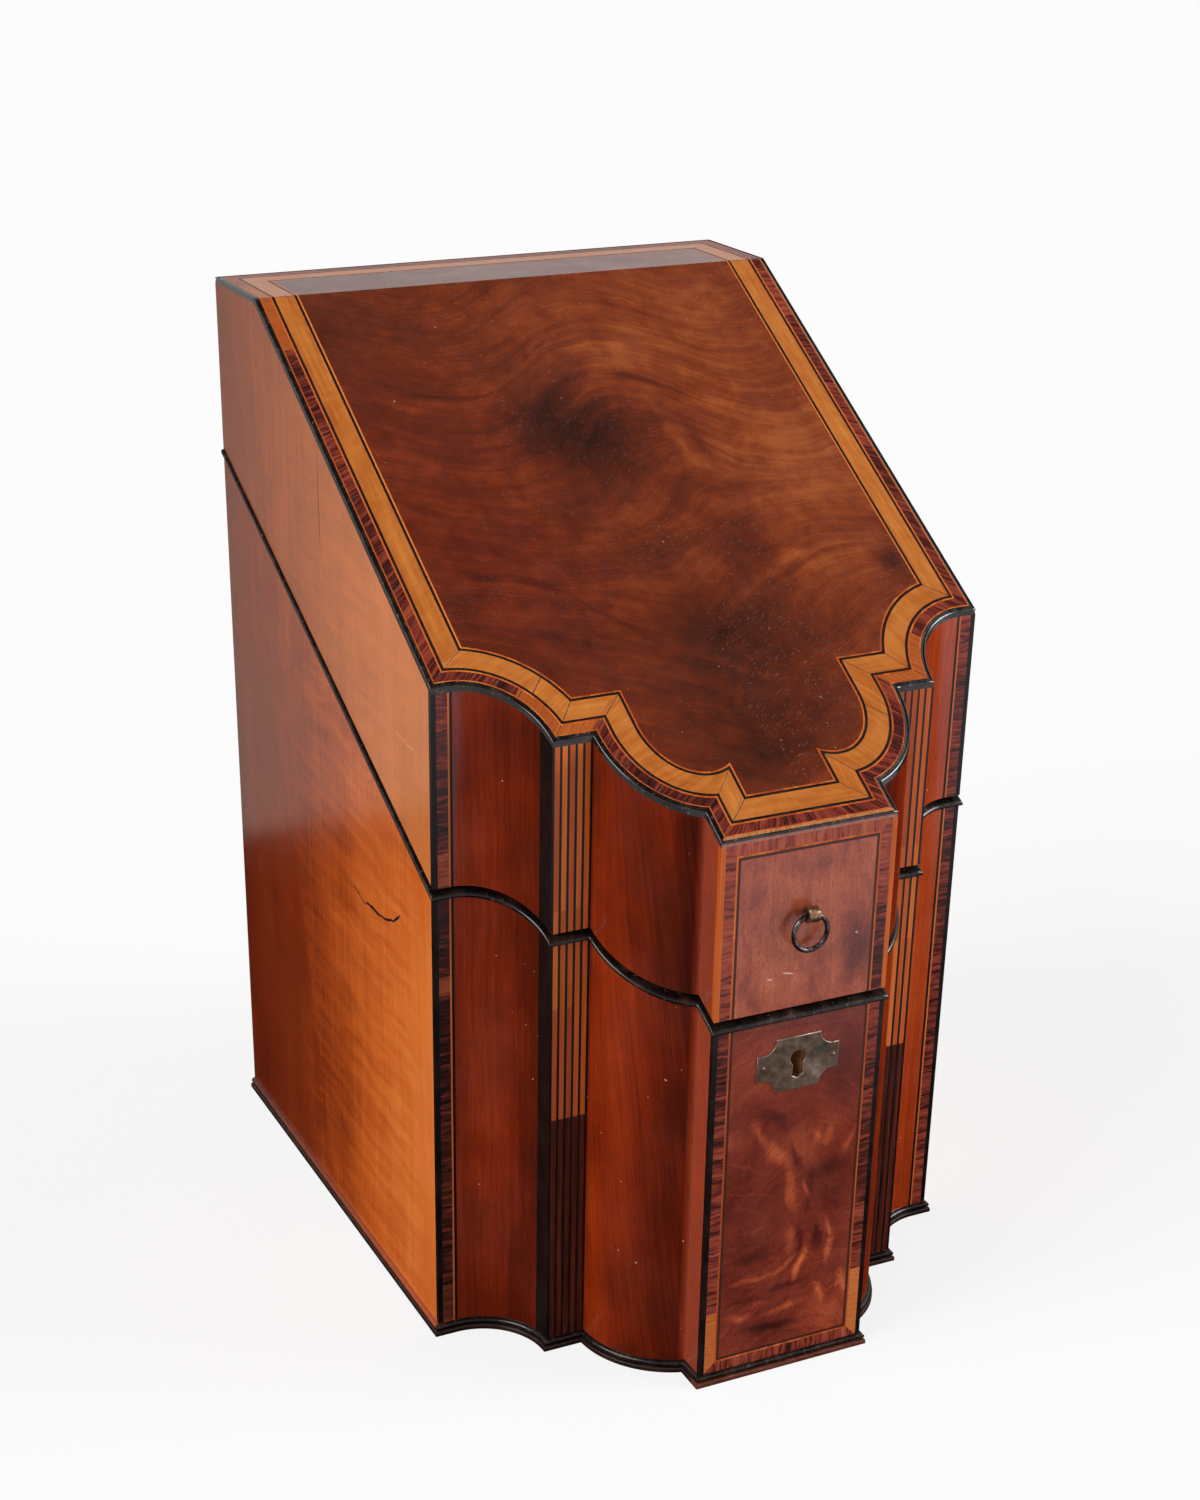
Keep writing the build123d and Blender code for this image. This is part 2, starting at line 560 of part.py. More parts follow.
# --- Link plate on the lid ----------------------------------------------------------------------
rail_x = BLOCK_W / 2 - WALL
rail = cell(-rail_x, rail_x, lock_front, lock_back) & between(lid_line, lambda y: lid_line(y) + 2 * WALL)
plate_half = LOOP_X + 2 * LOOP_W
link = loop_plane * (Pos(0, 0, PLATE_T / 2) * Box(2 * plate_half, LOOP_W + 3, PLATE_T))
for x in (-LOOP_X, LOOP_X):
    link += Pos(x, 0, 0) * (loop_plane * loop(0))
link_screws = []
for x in (-plate_half + LOOP_W / 2 + 1, 0, plate_half - LOOP_W / 2 - 1):
    link_screws.append(screw(on_line(x, lock_mid, lid_line, -1)))
parts["lid_lock_rail"] = rail
carve(["lid_lock_rail"], [link])
carve(["lid_lock_rail", "lid_centre_block"], link_screws)
parts["link_plate"] = link
carve(["link_plate"], link_screws)
parts["link_screws"] = group(*link_screws)

# --- Escutcheon ---------------------------------------------------------------------------------
half_w = ESCUTCHEON_W / 2
half_h = ESCUTCHEON_H / 2
face_y = Y_BLOCK - ESCUTCHEON_PROUD
plate = Box(ESCUTCHEON_W, ESCUTCHEON_T, ESCUTCHEON_H)
for sx in (-1, 1):
    for sz in (-1, 1):
        scoop = Rot(90, 0, 0) * Cylinder(ESCUTCHEON_CUT, 2 * ESCUTCHEON_T)
        plate -= Pos(sx * (half_w - ESCUTCHEON_TAB), 0, sz * half_h) * scoop
        tab = Box(2 * ESCUTCHEON_TAB, 2 * ESCUTCHEON_T, 2 * ESCUTCHEON_CUT)
        plate -= Pos(sx * half_w, 0, sz * half_h) * tab
plate_z = key_z - ESCUTCHEON_LOW
plate = Pos(0, face_y + ESCUTCHEON_T / 2, plate_z) * plate
pin_x = half_w - ESCUTCHEON_TAB
plate_pins = []
for sx in (-1, 1):
    stem = Pos(sx * pin_x, Y_BLOCK + WALL / 4, plate_z) * (Rot(90, 0, 0) * Cylinder(ESCUTCHEON_PIN_R, WALL / 2 + 1))
    dome = Pos(sx * pin_x, face_y - PIN_DOME_H + PIN_DOME_R, plate_z) * Sphere(PIN_DOME_R)
    plate_pins.append((stem & cell(-WIDTH, WIDTH, face_y, FAR)) + (dome & cell(-WIDTH, WIDTH, NEAR, face_y)))
carve(["base_block_veneer"], [plate])
for name in ("base_block_veneer", "base_centre_block"):
    carve([name], [keyhole(NEAR, lock_front + 1)] + plate_pins)
parts["escutcheon"] = plate - keyhole(NEAR, lock_front)
carve(["escutcheon"], plate_pins)
parts["escutcheon_pins"] = group(*plate_pins)

# --- Pull on the lid block ----------------------------------------------------------------------
block_low_z = lid_line(Y_BLOCK)
eye_z = block_low_z + EYE_AT * (block_top + STRING - block_low_z)
eye_y = Y_BLOCK - EYE_OUT
shank_end = Y_BLOCK + WALL - VENEER
shank_l = shank_end - (eye_y + EYE_R)
band = Pos(0, eye_y, eye_z) * (Rot(0, 90, 0) * (Cylinder(EYE_R, EYE_W) - Cylinder(EYE_BORE, 2 * EYE_W)))
shank = Pos(0, shank_end - shank_l / 2, eye_z) * (Rot(90, 0, 0) * Cylinder(EYE_SHANK, shank_l + FINE_LINE))
shank = shank & cell(-WIDTH, WIDTH, NEAR, shank_end)
parts["ring_eye"] = band + shank
carve(["lid_block_veneer", "lid_centre_block"], [shank])
sag = RING_R - sqrt(RING_R ** 2 - (EYE_W / 2) ** 2)
swing_z = eye_z - (EYE_BORE - RING_WIRE - sag - FIT)
parts["pull_ring"] = Pos(0, eye_y, swing_z - RING_R) * (Rot(90, 0, 0) * Torus(RING_R, RING_WIRE))

os.makedirs("parts", exist_ok=True)
for name, shape in parts.items():
    export_step(group(shape), f"parts/{name}.step")
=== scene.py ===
from math import atan, atan2, cos, hypot, pi, radians, sin, sqrt
from random import Random

import bmesh
import bpy
from mathutils import Euler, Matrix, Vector


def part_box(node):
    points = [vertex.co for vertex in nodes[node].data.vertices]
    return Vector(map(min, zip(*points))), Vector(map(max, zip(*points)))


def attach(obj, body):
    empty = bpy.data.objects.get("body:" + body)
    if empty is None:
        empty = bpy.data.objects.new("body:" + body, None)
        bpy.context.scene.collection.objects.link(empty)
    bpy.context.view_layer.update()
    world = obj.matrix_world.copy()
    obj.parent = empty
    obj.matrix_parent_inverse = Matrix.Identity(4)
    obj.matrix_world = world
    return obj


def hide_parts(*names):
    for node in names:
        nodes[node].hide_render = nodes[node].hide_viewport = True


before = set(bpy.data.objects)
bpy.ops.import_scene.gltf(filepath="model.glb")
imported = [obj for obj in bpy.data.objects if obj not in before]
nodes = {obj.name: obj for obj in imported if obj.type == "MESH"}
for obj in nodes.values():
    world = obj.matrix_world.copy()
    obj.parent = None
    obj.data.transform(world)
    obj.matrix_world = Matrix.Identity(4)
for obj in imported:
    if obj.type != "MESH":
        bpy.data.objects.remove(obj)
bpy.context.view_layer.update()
MM = 0.001


def link_new(name, data):
    made = bpy.data.objects.new(name, data)
    bpy.context.scene.collection.objects.link(made)
    return made


# --- Camera ---
PHOTO_WIDTH = 1200        # pixels
PHOTO_HEIGHT = 1500
FOCAL_PIXELS = 2479.7
CENTRE_X = 545.0          # where the optical axis meets the picture
CENTRE_Y = 970.0
SENSOR = 36.0             # millimetres along the picture's longer side
CAMERA_PLACE = (-0.42697, -0.84034, 0.56724)        # metres
CAMERA_TURN = (63.858, -0.442, -24.893)             # degrees

camera_data = bpy.data.cameras.new("camera")
camera_data.sensor_width = SENSOR
camera_data.lens = SENSOR * FOCAL_PIXELS / PHOTO_HEIGHT
camera_data.shift_x = (PHOTO_WIDTH / 2 - CENTRE_X) / PHOTO_HEIGHT
camera_data.shift_y = (CENTRE_Y - PHOTO_HEIGHT / 2) / PHOTO_HEIGHT
camera = link_new("camera", camera_data)
camera.location = CAMERA_PLACE
camera.rotation_euler = Euler([radians(turn) for turn in CAMERA_TURN])
bpy.context.scene.camera = camera

# --- The box's own sizes, in millimetres ---
lid_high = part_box("lid_side_veneer")[1]
HALF_WIDTH = lid_high.x / MM
Y_REAR = lid_high.y / MM
Y_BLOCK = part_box("base_block_veneer")[0].y / MM
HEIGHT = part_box("lid_flame_veneer")[1].z / MM
TOP_FLAT = 49.0           # level part of the lid, from the back
SLOPE_FRONT_Z = 271.8     # height of the lid's slope over the corner strips
BLOCK_PROJECTION = 74.0   # centre block in front of the corner strips
CORNER_FLAT = 7.0
COVE_R = 28.0
COVE_STOP = 1.0           # the cove ends this far short of a quarter circle
PILASTER_W = 16.0
OVOLO_SWEEP = 0.84        # the ovolo's radius as a share of its chord
BLOCK_HALF = 36.0
BLOCK_RETURN = 12.2       # flat side of the centre block
LID_FRONT_Z = 194.3       # the lid's lower edge over the corner strips
LID_BACK_Z = 304.6        # and at the back
GAP_FRONT = 2.0           # the lid stands off the rim at the corner strips
GAP_BACK = 0.3            # and nearly meets it at the back
BEAD = 2.2                # height of the rim bead, its projection and the part let in
BEAD_OUT = 1.2
BEAD_IN = 3.0
FILLET_H = 2.0            # fillet at the foot, under the plinth bead
FILLET_OUT = 2.0
FILLET_ROUND = 0.5
PLINTH_BEAD = 2.6
PLINTH_BEAD_OUT = 1.6
PLINTH_BEAD_IN = 0.1
VENEER = 1.0
STRING = 2.0              # square strings at the arrises
ARRIS_ROUND = 0.6
ARRIS_STEPS = 4
CROSSBAND_OUT = 2.5       # crossbanding on the top, from the edge
CROSSBAND_IN = 6.4
SATIN_OUT = 8.2
SATIN_IN = 16.4
BAND = 4.4                # crossbanding on the upright faces
FLUTE_PITCH = 3.0

Y_CORNER = Y_BLOCK + BLOCK_PROJECTION
Y_PILASTER = Y_CORNER - COVE_R + COVE_STOP
Y_BREAK = Y_REAR - TOP_FLAT
COVE_X = HALF_WIDTH - CORNER_FLAT
PILASTER_OUT_X = COVE_X - sqrt(COVE_R ** 2 - COVE_STOP ** 2)
PILASTER_IN_X = PILASTER_OUT_X - PILASTER_W
SLOPE = (HEIGHT - SLOPE_FRONT_Z) / (Y_BREAK - Y_CORNER)
SLOPE_COS = cos(atan(SLOPE))
RIM_SLOPE = (LID_BACK_Z - LID_FRONT_Z) / (Y_REAR - Y_CORNER)

chord_x = PILASTER_IN_X - BLOCK_HALF
chord_y = Y_PILASTER - (Y_BLOCK + BLOCK_RETURN)
chord = hypot(chord_x, chord_y)
OVOLO_R = OVOLO_SWEEP * chord
rise = sqrt(OVOLO_R ** 2 - chord ** 2 / 4)
OVOLO_X = (PILASTER_IN_X + BLOCK_HALF) / 2 - rise * chord_y / chord
OVOLO_Y = (Y_PILASTER + Y_BLOCK + BLOCK_RETURN) / 2 + rise * chord_x / chord


def roof(y, depth):
    """Height of the lid's top surface, or of a layer `depth` below it."""
    slope = SLOPE_FRONT_Z + (y - Y_CORNER) * SLOPE
    return min(HEIGHT - depth, slope - depth / SLOPE_COS)


def at_depth(depth):
    return lambda y: roof(y, depth)


def at_height(z):
    return lambda y: z


def between(low, high, share):
    return lambda y: low(y) + (high(y) - low(y)) * share


def lid_line(y):
    return LID_FRONT_Z + (y - Y_CORNER) * RIM_SLOPE


def over_lid_line(y, z):
    """Height over the lid's lower edge; y and z may be signals."""
    return z - (y - Y_CORNER) * RIM_SLOPE - LID_FRONT_Z


def bead_line(y):
    return lid_line(y) - GAP_BACK - (GAP_FRONT - GAP_BACK) * (Y_REAR - y) / (Y_REAR - Y_CORNER)


def rim_line(y):
    return bead_line(y) - BEAD


# --- Outline of the case ---
BEND_STEPS = 48
LEG_STEPS = {             # samples on each leg of half the plan, from the back to the front
    "back": 24, "side": 12, "slope": 60, "cove": 40, "pilaster": 8, "ovolo": 40, "return": 8, "front": 18,
}


def spread(points, count):
    """`count` points evenly spaced along a polyline, without its last point."""
    lengths = [0.0]
    for p, q in zip(points, points[1:]):
        lengths.append(lengths[-1] + hypot(q[0] - p[0], q[1] - p[1]))
    placed = []
    k = 0
    for step in range(count):
        target = lengths[-1] * step / count
        while k < len(points) - 2 and lengths[k + 1] < target:
            k += 1
        run = lengths[k + 1] - lengths[k]
        share = (target - lengths[k]) / run if run else 0.0
        p, q = points[k], points[k + 1]
        placed.append((p[0] + (q[0] - p[0]) * share, p[1] + (q[1] - p[1]) * share))
    return placed


def curve_x(curve, y, side):
    """x of an ellipse (centre x, centre y, half sizes) at a y, on its right (1) or left (-1) side."""
    cx, cy, a, b = curve
    return cx + side * a * sqrt(1 - ((y - cy) / b) ** 2)


def curve_y(curve, x, side):
    cx, cy, a, b = curve
    return cy + side * b * sqrt(1 - ((x - cx) / a) ** 2)


def bend(curve, start, end):
    """Points along an ellipse, the short way from start to end."""
    cx, cy, a, b = curve
    first, last = [atan2((p[1] - cy) / b, (p[0] - cx) / a) % (2 * pi) for p in (start, end)]
    sweep = (last - first + pi) % (2 * pi) - pi
    turns = [first + sweep * k / BEND_STEPS for k in range(BEND_STEPS + 1)]
    return [(cx + a * cos(t), cy + b * sin(t)) for t in turns]


def half_outline(inset, slant, rear):
    """Right half of the plan, drawn in by `inset`: [(leg, points)] from the back to the front.

    slant is the inset's share along y, where it is measured on the slope, and rear the inset of the
    back, if it has one of its own.
    """
    dy = inset * slant
    back = Y_REAR - (inset if rear is None else rear)
    side = HALF_WIDTH - inset
    pilaster = Y_PILASTER + dy
    block_x = BLOCK_HALF - inset
    cove = (COVE_X, Y_CORNER - COVE_R, COVE_R + inset, COVE_R + dy)
    ovolo = (OVOLO_X, OVOLO_Y, OVOLO_R - inset, OVOLO_R - dy)
    if side > COVE_X:
        corner = (side, Y_CORNER + dy)
        cove_start = (COVE_X, Y_CORNER + dy)
    else:
        corner = cove_start = (side, curve_y(cove, side, 1))
    cove_end = (curve_x(cove, pilaster, -1), pilaster)
    ovolo_y = min(pilaster, OVOLO_Y)
    ovolo_start = (curve_x(ovolo, ovolo_y, 1), ovolo_y)
    shoulder = (ovolo_start[0], pilaster)
    ovolo_end = (block_x, curve_y(ovolo, block_x, -1))
    block_corner = (block_x, Y_BLOCK + dy)
    return [
        ("back", [(0.0, back), (side, back)]),
        ("side", [(side, back), (side, Y_BREAK)]),
        ("slope", [(side, Y_BREAK), corner]),
        ("cove", [corner] + bend(cove, cove_start, cove_end)),
        ("pilaster", [cove_end, shoulder]),
        ("ovolo", [shoulder] + bend(ovolo, ovolo_start, ovolo_end)),
        ("return", [ovolo_end, block_corner]),
        ("front", [block_corner, (0.0, Y_BLOCK + dy)]),
    ]


def ring(inset, slant=1.0, rear=None):
    """Samples round the plan, clockwise from the back: [(x, y, leg, share of the leg, side)].

    With `rear` the ring is open: it runs from the right rear corner to the left one.
    """
    legs = half_outline(inset, slant, rear)
    if rear is not None:
        legs = legs[1:]
    right = []
    for leg, points in legs:
        count = LEG_STEPS[leg]
        right += [(x, y, leg, k / count, 1) for k, (x, y) in enumerate(spread(points, count))]
    last = legs[-1][1][-1]
    left = [(-x, y, leg, share, -1) for x, y, leg, share, _ in reversed(right)]
    loop = right + [(last[0], last[1], "front", 1.0, -1)] + left
    return loop if rear is not None else loop[:-1]


# --- Meshes ---
NO_JOINT = 1000.0         # millimetres to the nearest joint, where there is none
PLAIN_PIECE = (0.5, 0.0, 0.0)       # tone, kind and chance


def new_mesh(name, vertices, faces, uvs, pieces, seams):
    """Mesh object in metres from millimetres, with the attributes that the inlay materials read.

    uvs and pieces hold one entry for each corner of each face, and seams one for each vertex.
    """
    mesh = bpy.data.meshes.new(name)
    mesh.from_pydata([[c * MM for c in v] for v in vertices], [], faces)
    for loop, uv in zip(mesh.uv_layers.new(name="along").data, uvs):
        loop.uv = (uv[0] * MM, uv[1] * MM)
    for loop, value in zip(mesh.attributes.new("piece", "FLOAT_COLOR", "CORNER").data, pieces):
        loop.color = (*value, 1.0)
    for vertex, value in zip(mesh.attributes.new("seam", "FLOAT", "POINT").data, seams):
        vertex.value = value * MM
    edit = bmesh.new()
    edit.from_mesh(mesh)
    bmesh.ops.recalc_face_normals(edit, faces=edit.faces)
    edit.to_mesh(mesh)
    edit.free()
    return link_new(name, mesh)


def sweep(section, slant=1.0, rear=None, pieces=None, joints=()):
    """Closed section carried round the plan, as the lists that new_mesh takes.

    section holds (inset, height function, across) points. pieces(leg, share, side) gives a face's
    values, and joints lists the (leg, share, side) places where two pieces of veneer meet.
    """
    rings = [ring(inset, slant, rear) for inset, _, _ in section]
    count = len(rings[0])
    closed = rear is None
    middle = ring(sum(inset for inset, _, _ in section) / len(section), slant, rear)
    run = [0.0]
    for k in range(count):
        p, q = middle[k], middle[(k + 1) % count]
        run.append(run[-1] + hypot(q[0] - p[0], q[1] - p[1]))
    joint_runs = []
    for k, (_, _, leg, share, side) in enumerate(middle):
        shares = [at for joint_leg, at, joint_side in joints if (joint_leg, joint_side) == (leg, side)]
        joint_runs += [run[k] for at in shares if abs(share - at) < 0.5 / LEG_STEPS[leg]]
    vertices, seams = [], []
    for k in range(count):
        seam = min([abs(run[k] - j) for j in joint_runs] + [NO_JOINT])
        for samples, (_, height, _) in zip(rings, section):
            x, y = samples[k][:2]
            vertices.append((x, y, height(y)))
            seams.append(seam)
    size = len(section)
    faces, uvs, values = [], [], []
    across = [point[2] for point in section]
    for k in range(count if closed else count - 1):
        here, there = k * size, (k + 1) % count * size
        _, _, leg, share, side = middle[k]
        value = pieces(leg, share, side) if pieces else PLAIN_PIECE
        for j in range(size):
            n = (j + 1) % size
            faces.append((here + j, here + n, there + n, there + j))
            near, far = across[j], across[n]
            uvs += [(run[k], near), (run[k], far), (run[k + 1], far), (run[k + 1], near)]
            values += [value] * 4
    if not closed:
        end = (count - 1) * size
        for cap in (list(range(size)), list(range(end, end + size))):
            faces.append(cap)
            uvs += [(run[-1], across[i % size]) for i in cap]
            values += [PLAIN_PIECE] * size
    return vertices, faces, uvs, values, seams


def layer(outer, inner):
    """Flat band of veneer on the lid's top, between two insets."""
    top, below, width = at_depth(0.0), at_depth(VENEER), inner - outer
    return [(outer, top, 0.0), (inner, top, width), (inner, below, width), (outer, below, 0.0)]


class Strips:
    """Straight pieces of banding on the upright faces, gathered in one mesh with a swept band, if any."""

    def __init__(self, seed, swept=((), (), (), (), ())):
        self.vertices, self.faces, self.uvs, self.values, self.seams = [list(part) for part in swept]
        self.random = Random(seed)

    def piece(self, corners, front, along_x, kind, tone, lean=(0, 0, 0, 0)):
        """One piece from its four (x, z) corners; lean is the rise of each corner towards the back."""
        start = len(self.vertices)
        value = (tone, kind, self.random.random())
        for depth in (0.0, VENEER):
            for (x, z), rise_back in zip(corners, lean):
                self.vertices.append((x, front + depth, z + rise_back * depth))
                self.seams.append(NO_JOINT)
        rounds = [(0, 1, 2, 3), (7, 6, 5, 4)] + [(k, (k + 1) % 4, (k + 1) % 4 + 4, k + 4) for k in range(4)]
        for face in rounds:
            self.faces.append([start + i for i in face])
            for i in face:
                x, z = corners[i % 4]
                self.uvs.append((x, z) if along_x else (z, x))
                self.values.append(value)

    def finish(self, name):
        return new_mesh(name, self.vertices, self.faces, self.uvs, self.values, self.seams)


# --- Material writing ---
STROKE_REACH = 1.15       # length of a stroke's oval, over the distance between its ends


class Signal:
    """A number that varies over a surface: a node's output with plain arithmetic."""

    def __init__(self, paint, socket):
        self.paint, self.socket = paint, socket

    def __add__(self, other):
        return self.paint.math("ADD", self, other)

    def __sub__(self, other):
        return self.paint.math("SUBTRACT", self, other)

    def __rsub__(self, other):
        return self.paint.math("SUBTRACT", other, self)

    def __mul__(self, other):
        return self.paint.math("MULTIPLY", self, other)

    def __truediv__(self, other):
        return self.paint.math("DIVIDE", self, other)

    def __abs__(self):
        return self.paint.math("ABSOLUTE", self)


class Paint:
    """One material, or the world, written with short calls that each return a Signal or a socket."""

    def __init__(self, name, world=False):
        self.owner = (bpy.data.worlds if world else bpy.data.materials).new(name)
        self.owner.use_nodes = True
        self.tree = self.owner.node_tree
        self.tree.nodes.clear()
        self.places = None

    def feed(self, socket, value):
        """Sets an input of a node, or links a signal or socket to it."""
        if isinstance(value, (Signal, bpy.types.NodeSocket)):
            self.tree.links.new(getattr(value, "socket", value), socket)
        else:
            socket.default_value = linear(value) if socket.type == "RGBA" else value

    def wire(self, kind, inputs=(), output=0, **settings):
        """Output of a new node, from its inputs as {name or number: value} and its settings."""
        made = self.tree.nodes.new(kind)
        for key, value in settings.items():
            setattr(made, key, value)
        for key, value in dict(inputs).items():
            self.feed(made.inputs[key], value)
        return made.outputs[output]

    def number(self, *wired, **settings):
        return Signal(self, self.wire(*wired, **settings))

    def math(self, operation, *values):
        return self.number("ShaderNodeMath", enumerate(values), operation=operation)

    def split(self, vector):
        self.wire("ShaderNodeSeparateXYZ", {0: vector})
        return [Signal(self, output) for output in self.tree.nodes[-1].outputs]

    def place(self):
        """The point on the object as three signals, in millimetres."""
        if self.places is None:
            point = self.wire("ShaderNodeTexCoord", output="Object")
            scaled = self.wire("ShaderNodeVectorMath", {0: point, "Scale": 1 / MM}, operation="SCALE")
            self.places = self.split(scaled)
        return self.places

    def band_place(self):
        """Distance along a band and across it, in millimetres."""
        along, across, _ = self.split(self.wire("ShaderNodeUVMap", uv_map="along"))
        return along / MM, across / MM

    def piece_values(self):
        """Tone, kind and chance of the piece of veneer, and the distance to the nearest joint."""
        values = self.wire("ShaderNodeAttribute", output="Color", attribute_name="piece")
        self.wire("ShaderNodeSeparateColor", {0: values})
        tone, kind, chance = [Signal(self, output) for output in self.tree.nodes[-1].outputs]
        seam = self.number("ShaderNodeAttribute", output="Fac", attribute_name="seam")
        return tone, kind, chance, seam / MM

    def rays(self):
        """1 for what the camera sees directly, and 1 for what a polished surface mirrors."""
        path = self.tree.nodes.new("ShaderNodeLightPath").outputs
        mirrored = self.math("MAXIMUM", path["Is Glossy Ray"], path["Is Transmission Ray"])
        return Signal(self, path["Is Camera Ray"]), mirrored

    def vector(self, x, y, z=0.0):
        return self.wire("ShaderNodeCombineXYZ", {0: x, 1: y, 2: z})

    def noise(self, x, y, z, detail=2.0, roughness=0.5, distortion=0.0):
        """Smooth noise at a place, about 0 to 1, of features one unit long."""
        return self.number("ShaderNodeTexNoise", {
            "Scale": 1.0, "Detail": detail, "Roughness": roughness, "Distortion": distortion,
            "Vector": self.vector(x, y, z),
        })

    def grain(self, x_scale, y_scale, z_scale, detail=2.0, roughness=0.5):
        """Noise in the object's own directions, each with its scale."""
        x, y, z = self.place()
        return self.noise(x * x_scale, y * y_scale, z * z_scale, detail, roughness)

    def fog(self, scale, detail=2.0, roughness=0.5):
        """Noise of one scale in every direction."""
        return self.grain(scale, scale, scale, detail, roughness)

    def chance(self, x, y, z):
        """A fixed random number for each value of its inputs."""
        place = {"Vector": self.vector(x, y, z)}
        return self.number("ShaderNodeTexWhiteNoise", place, "Value", noise_dimensions="3D")

    def step(self, value, low, high, to_low=0.0, to_high=1.0):
        """Smooth change from to_low to to_high as value goes from low to high."""
        names = ("Value", "From Min", "From Max", "To Min", "To Max")
        return self.number("ShaderNodeMapRange", zip(names, (value, low, high, to_low, to_high)), "Result",
                           interpolation_type="SMOOTHSTEP")

    def ovals(self, face, drawn, core=0.0):
        """Sum of soft ovals on a face: (centre u, v, half sizes, level), and a turn at the end if any."""
        total = None
        for u, v, half_u, half_v, level, *turn in drawn:
            placed = self.wire("ShaderNodeMapping", {
                "Vector": face, "Location": (u, v, 0.0), "Rotation": (0.0, 0.0, *(turn or (0.0,))),
                "Scale": (half_u, half_v, 1.0),
            }, vector_type="TEXTURE")
            away = self.wire("ShaderNodeVectorMath", {0: placed}, "Value", operation="LENGTH")
            mark = self.step(away, 1.0, core, 0.0, level)
            total = mark if total is None else total + mark
        return total

    def strokes(self, face, drawn, core=0.4):
        """Sum of tapered strokes on a face: (start u, v, end u, v, half width, level)."""
        ovals = []
        for u, v, end_u, end_v, width, level in drawn:
            du, dv = end_u - u, end_v - v
            reach = hypot(du, dv) / 2 * STROKE_REACH
            ovals.append(((u + end_u) / 2, (v + end_v) / 2, reach, width, level, atan2(dv, du)))
        return self.ovals(face, ovals, core)

    def ramp(self, value, *stops):
        """Colour for a value, from (position, red, green, blue) stops, as seen on a screen."""
        made = self.wire("ShaderNodeValToRGB", {0: value})
        elements = self.tree.nodes[-1].color_ramp.elements
        while len(elements) < len(stops):
            elements.new(1.0)
        for element, (position, *colour) in zip(elements, stops):
            element.position = position
            element.color = linear(colour)
        return made

    def mix(self, share, a, b, blend="MIX"):
        return self.wire("ShaderNodeMix", {0: share, 6: a, 7: b}, 2, data_type="RGBA", blend_type=blend)

    def mix_numbers(self, share, a, b):
        return self.number("ShaderNodeMix", {0: share, 2: a, 3: b})

    def end(self, shader, kind="ShaderNodeOutputMaterial"):
        self.feed(self.tree.nodes.new(kind).inputs["Surface"], shader)
        return self.owner

    def surface(self, colour, roughness, height, depth=0.1, metallic=0.0, coat=0.0, coat_roughness=0.1,
                specular=0.5, sheen=0.0):
        """Ends the material. height is a relief signal and depth its full height in millimetres."""
        return self.end(self.wire("ShaderNodeBsdfPrincipled", {
            "Base Color": colour, "Roughness": roughness, "Metallic": metallic, "Sheen Weight": sheen,
            "Specular IOR Level": specular, "Coat Weight": coat, "Coat Roughness": coat_roughness,
            "Normal": self.wire("ShaderNodeBump", {"Distance": depth * MM, "Height": height}),
        }))

    def polished(self, colour, roughness, relief, depth=0.12):
        return self.surface(colour, roughness, relief, depth, coat=0.35, coat_roughness=0.12, specular=0.35)


def linear(colour):
    """Blender's colour from 0-255 screen values."""
    return (*[(c / 255 / 12.92) if c < 10.3 else ((c / 255 + 0.055) / 1.055) ** 2.4 for c in colour], 1.0)


# --- Woods ---
def side_marks(p, x, y, z):
    """Dark and pale lines on the left side, each from 0 to 1."""
    shaken = (p.noise(y * 0.12, z * 0.12, 1, 3) - 0.5) * 5
    face = p.vector(y, z + shaken)
    left = p.step(x, -100, -110)
    dark = p.strokes(face, [
        (34.5, 333, 34, 288, 0.45, 0.9), (8.5, 161.6, -7, 159.6, 0.6, 1), (-2, 160.4, -26, 160.6, 1.1, 1),
        (-21, 160.2, -38, 164.8, 0.9, 1), (-34, 163.2, -43, 170, 0.9, 1),
    ])
    scratch = p.strokes(face, [(-41, 244.5, -50, 243, 0.5, 0.5), (-48, 243.6, -62, 242, 0.5, 0.5)])
    return p.math("MINIMUM", dark, 1) * left, scratch * left


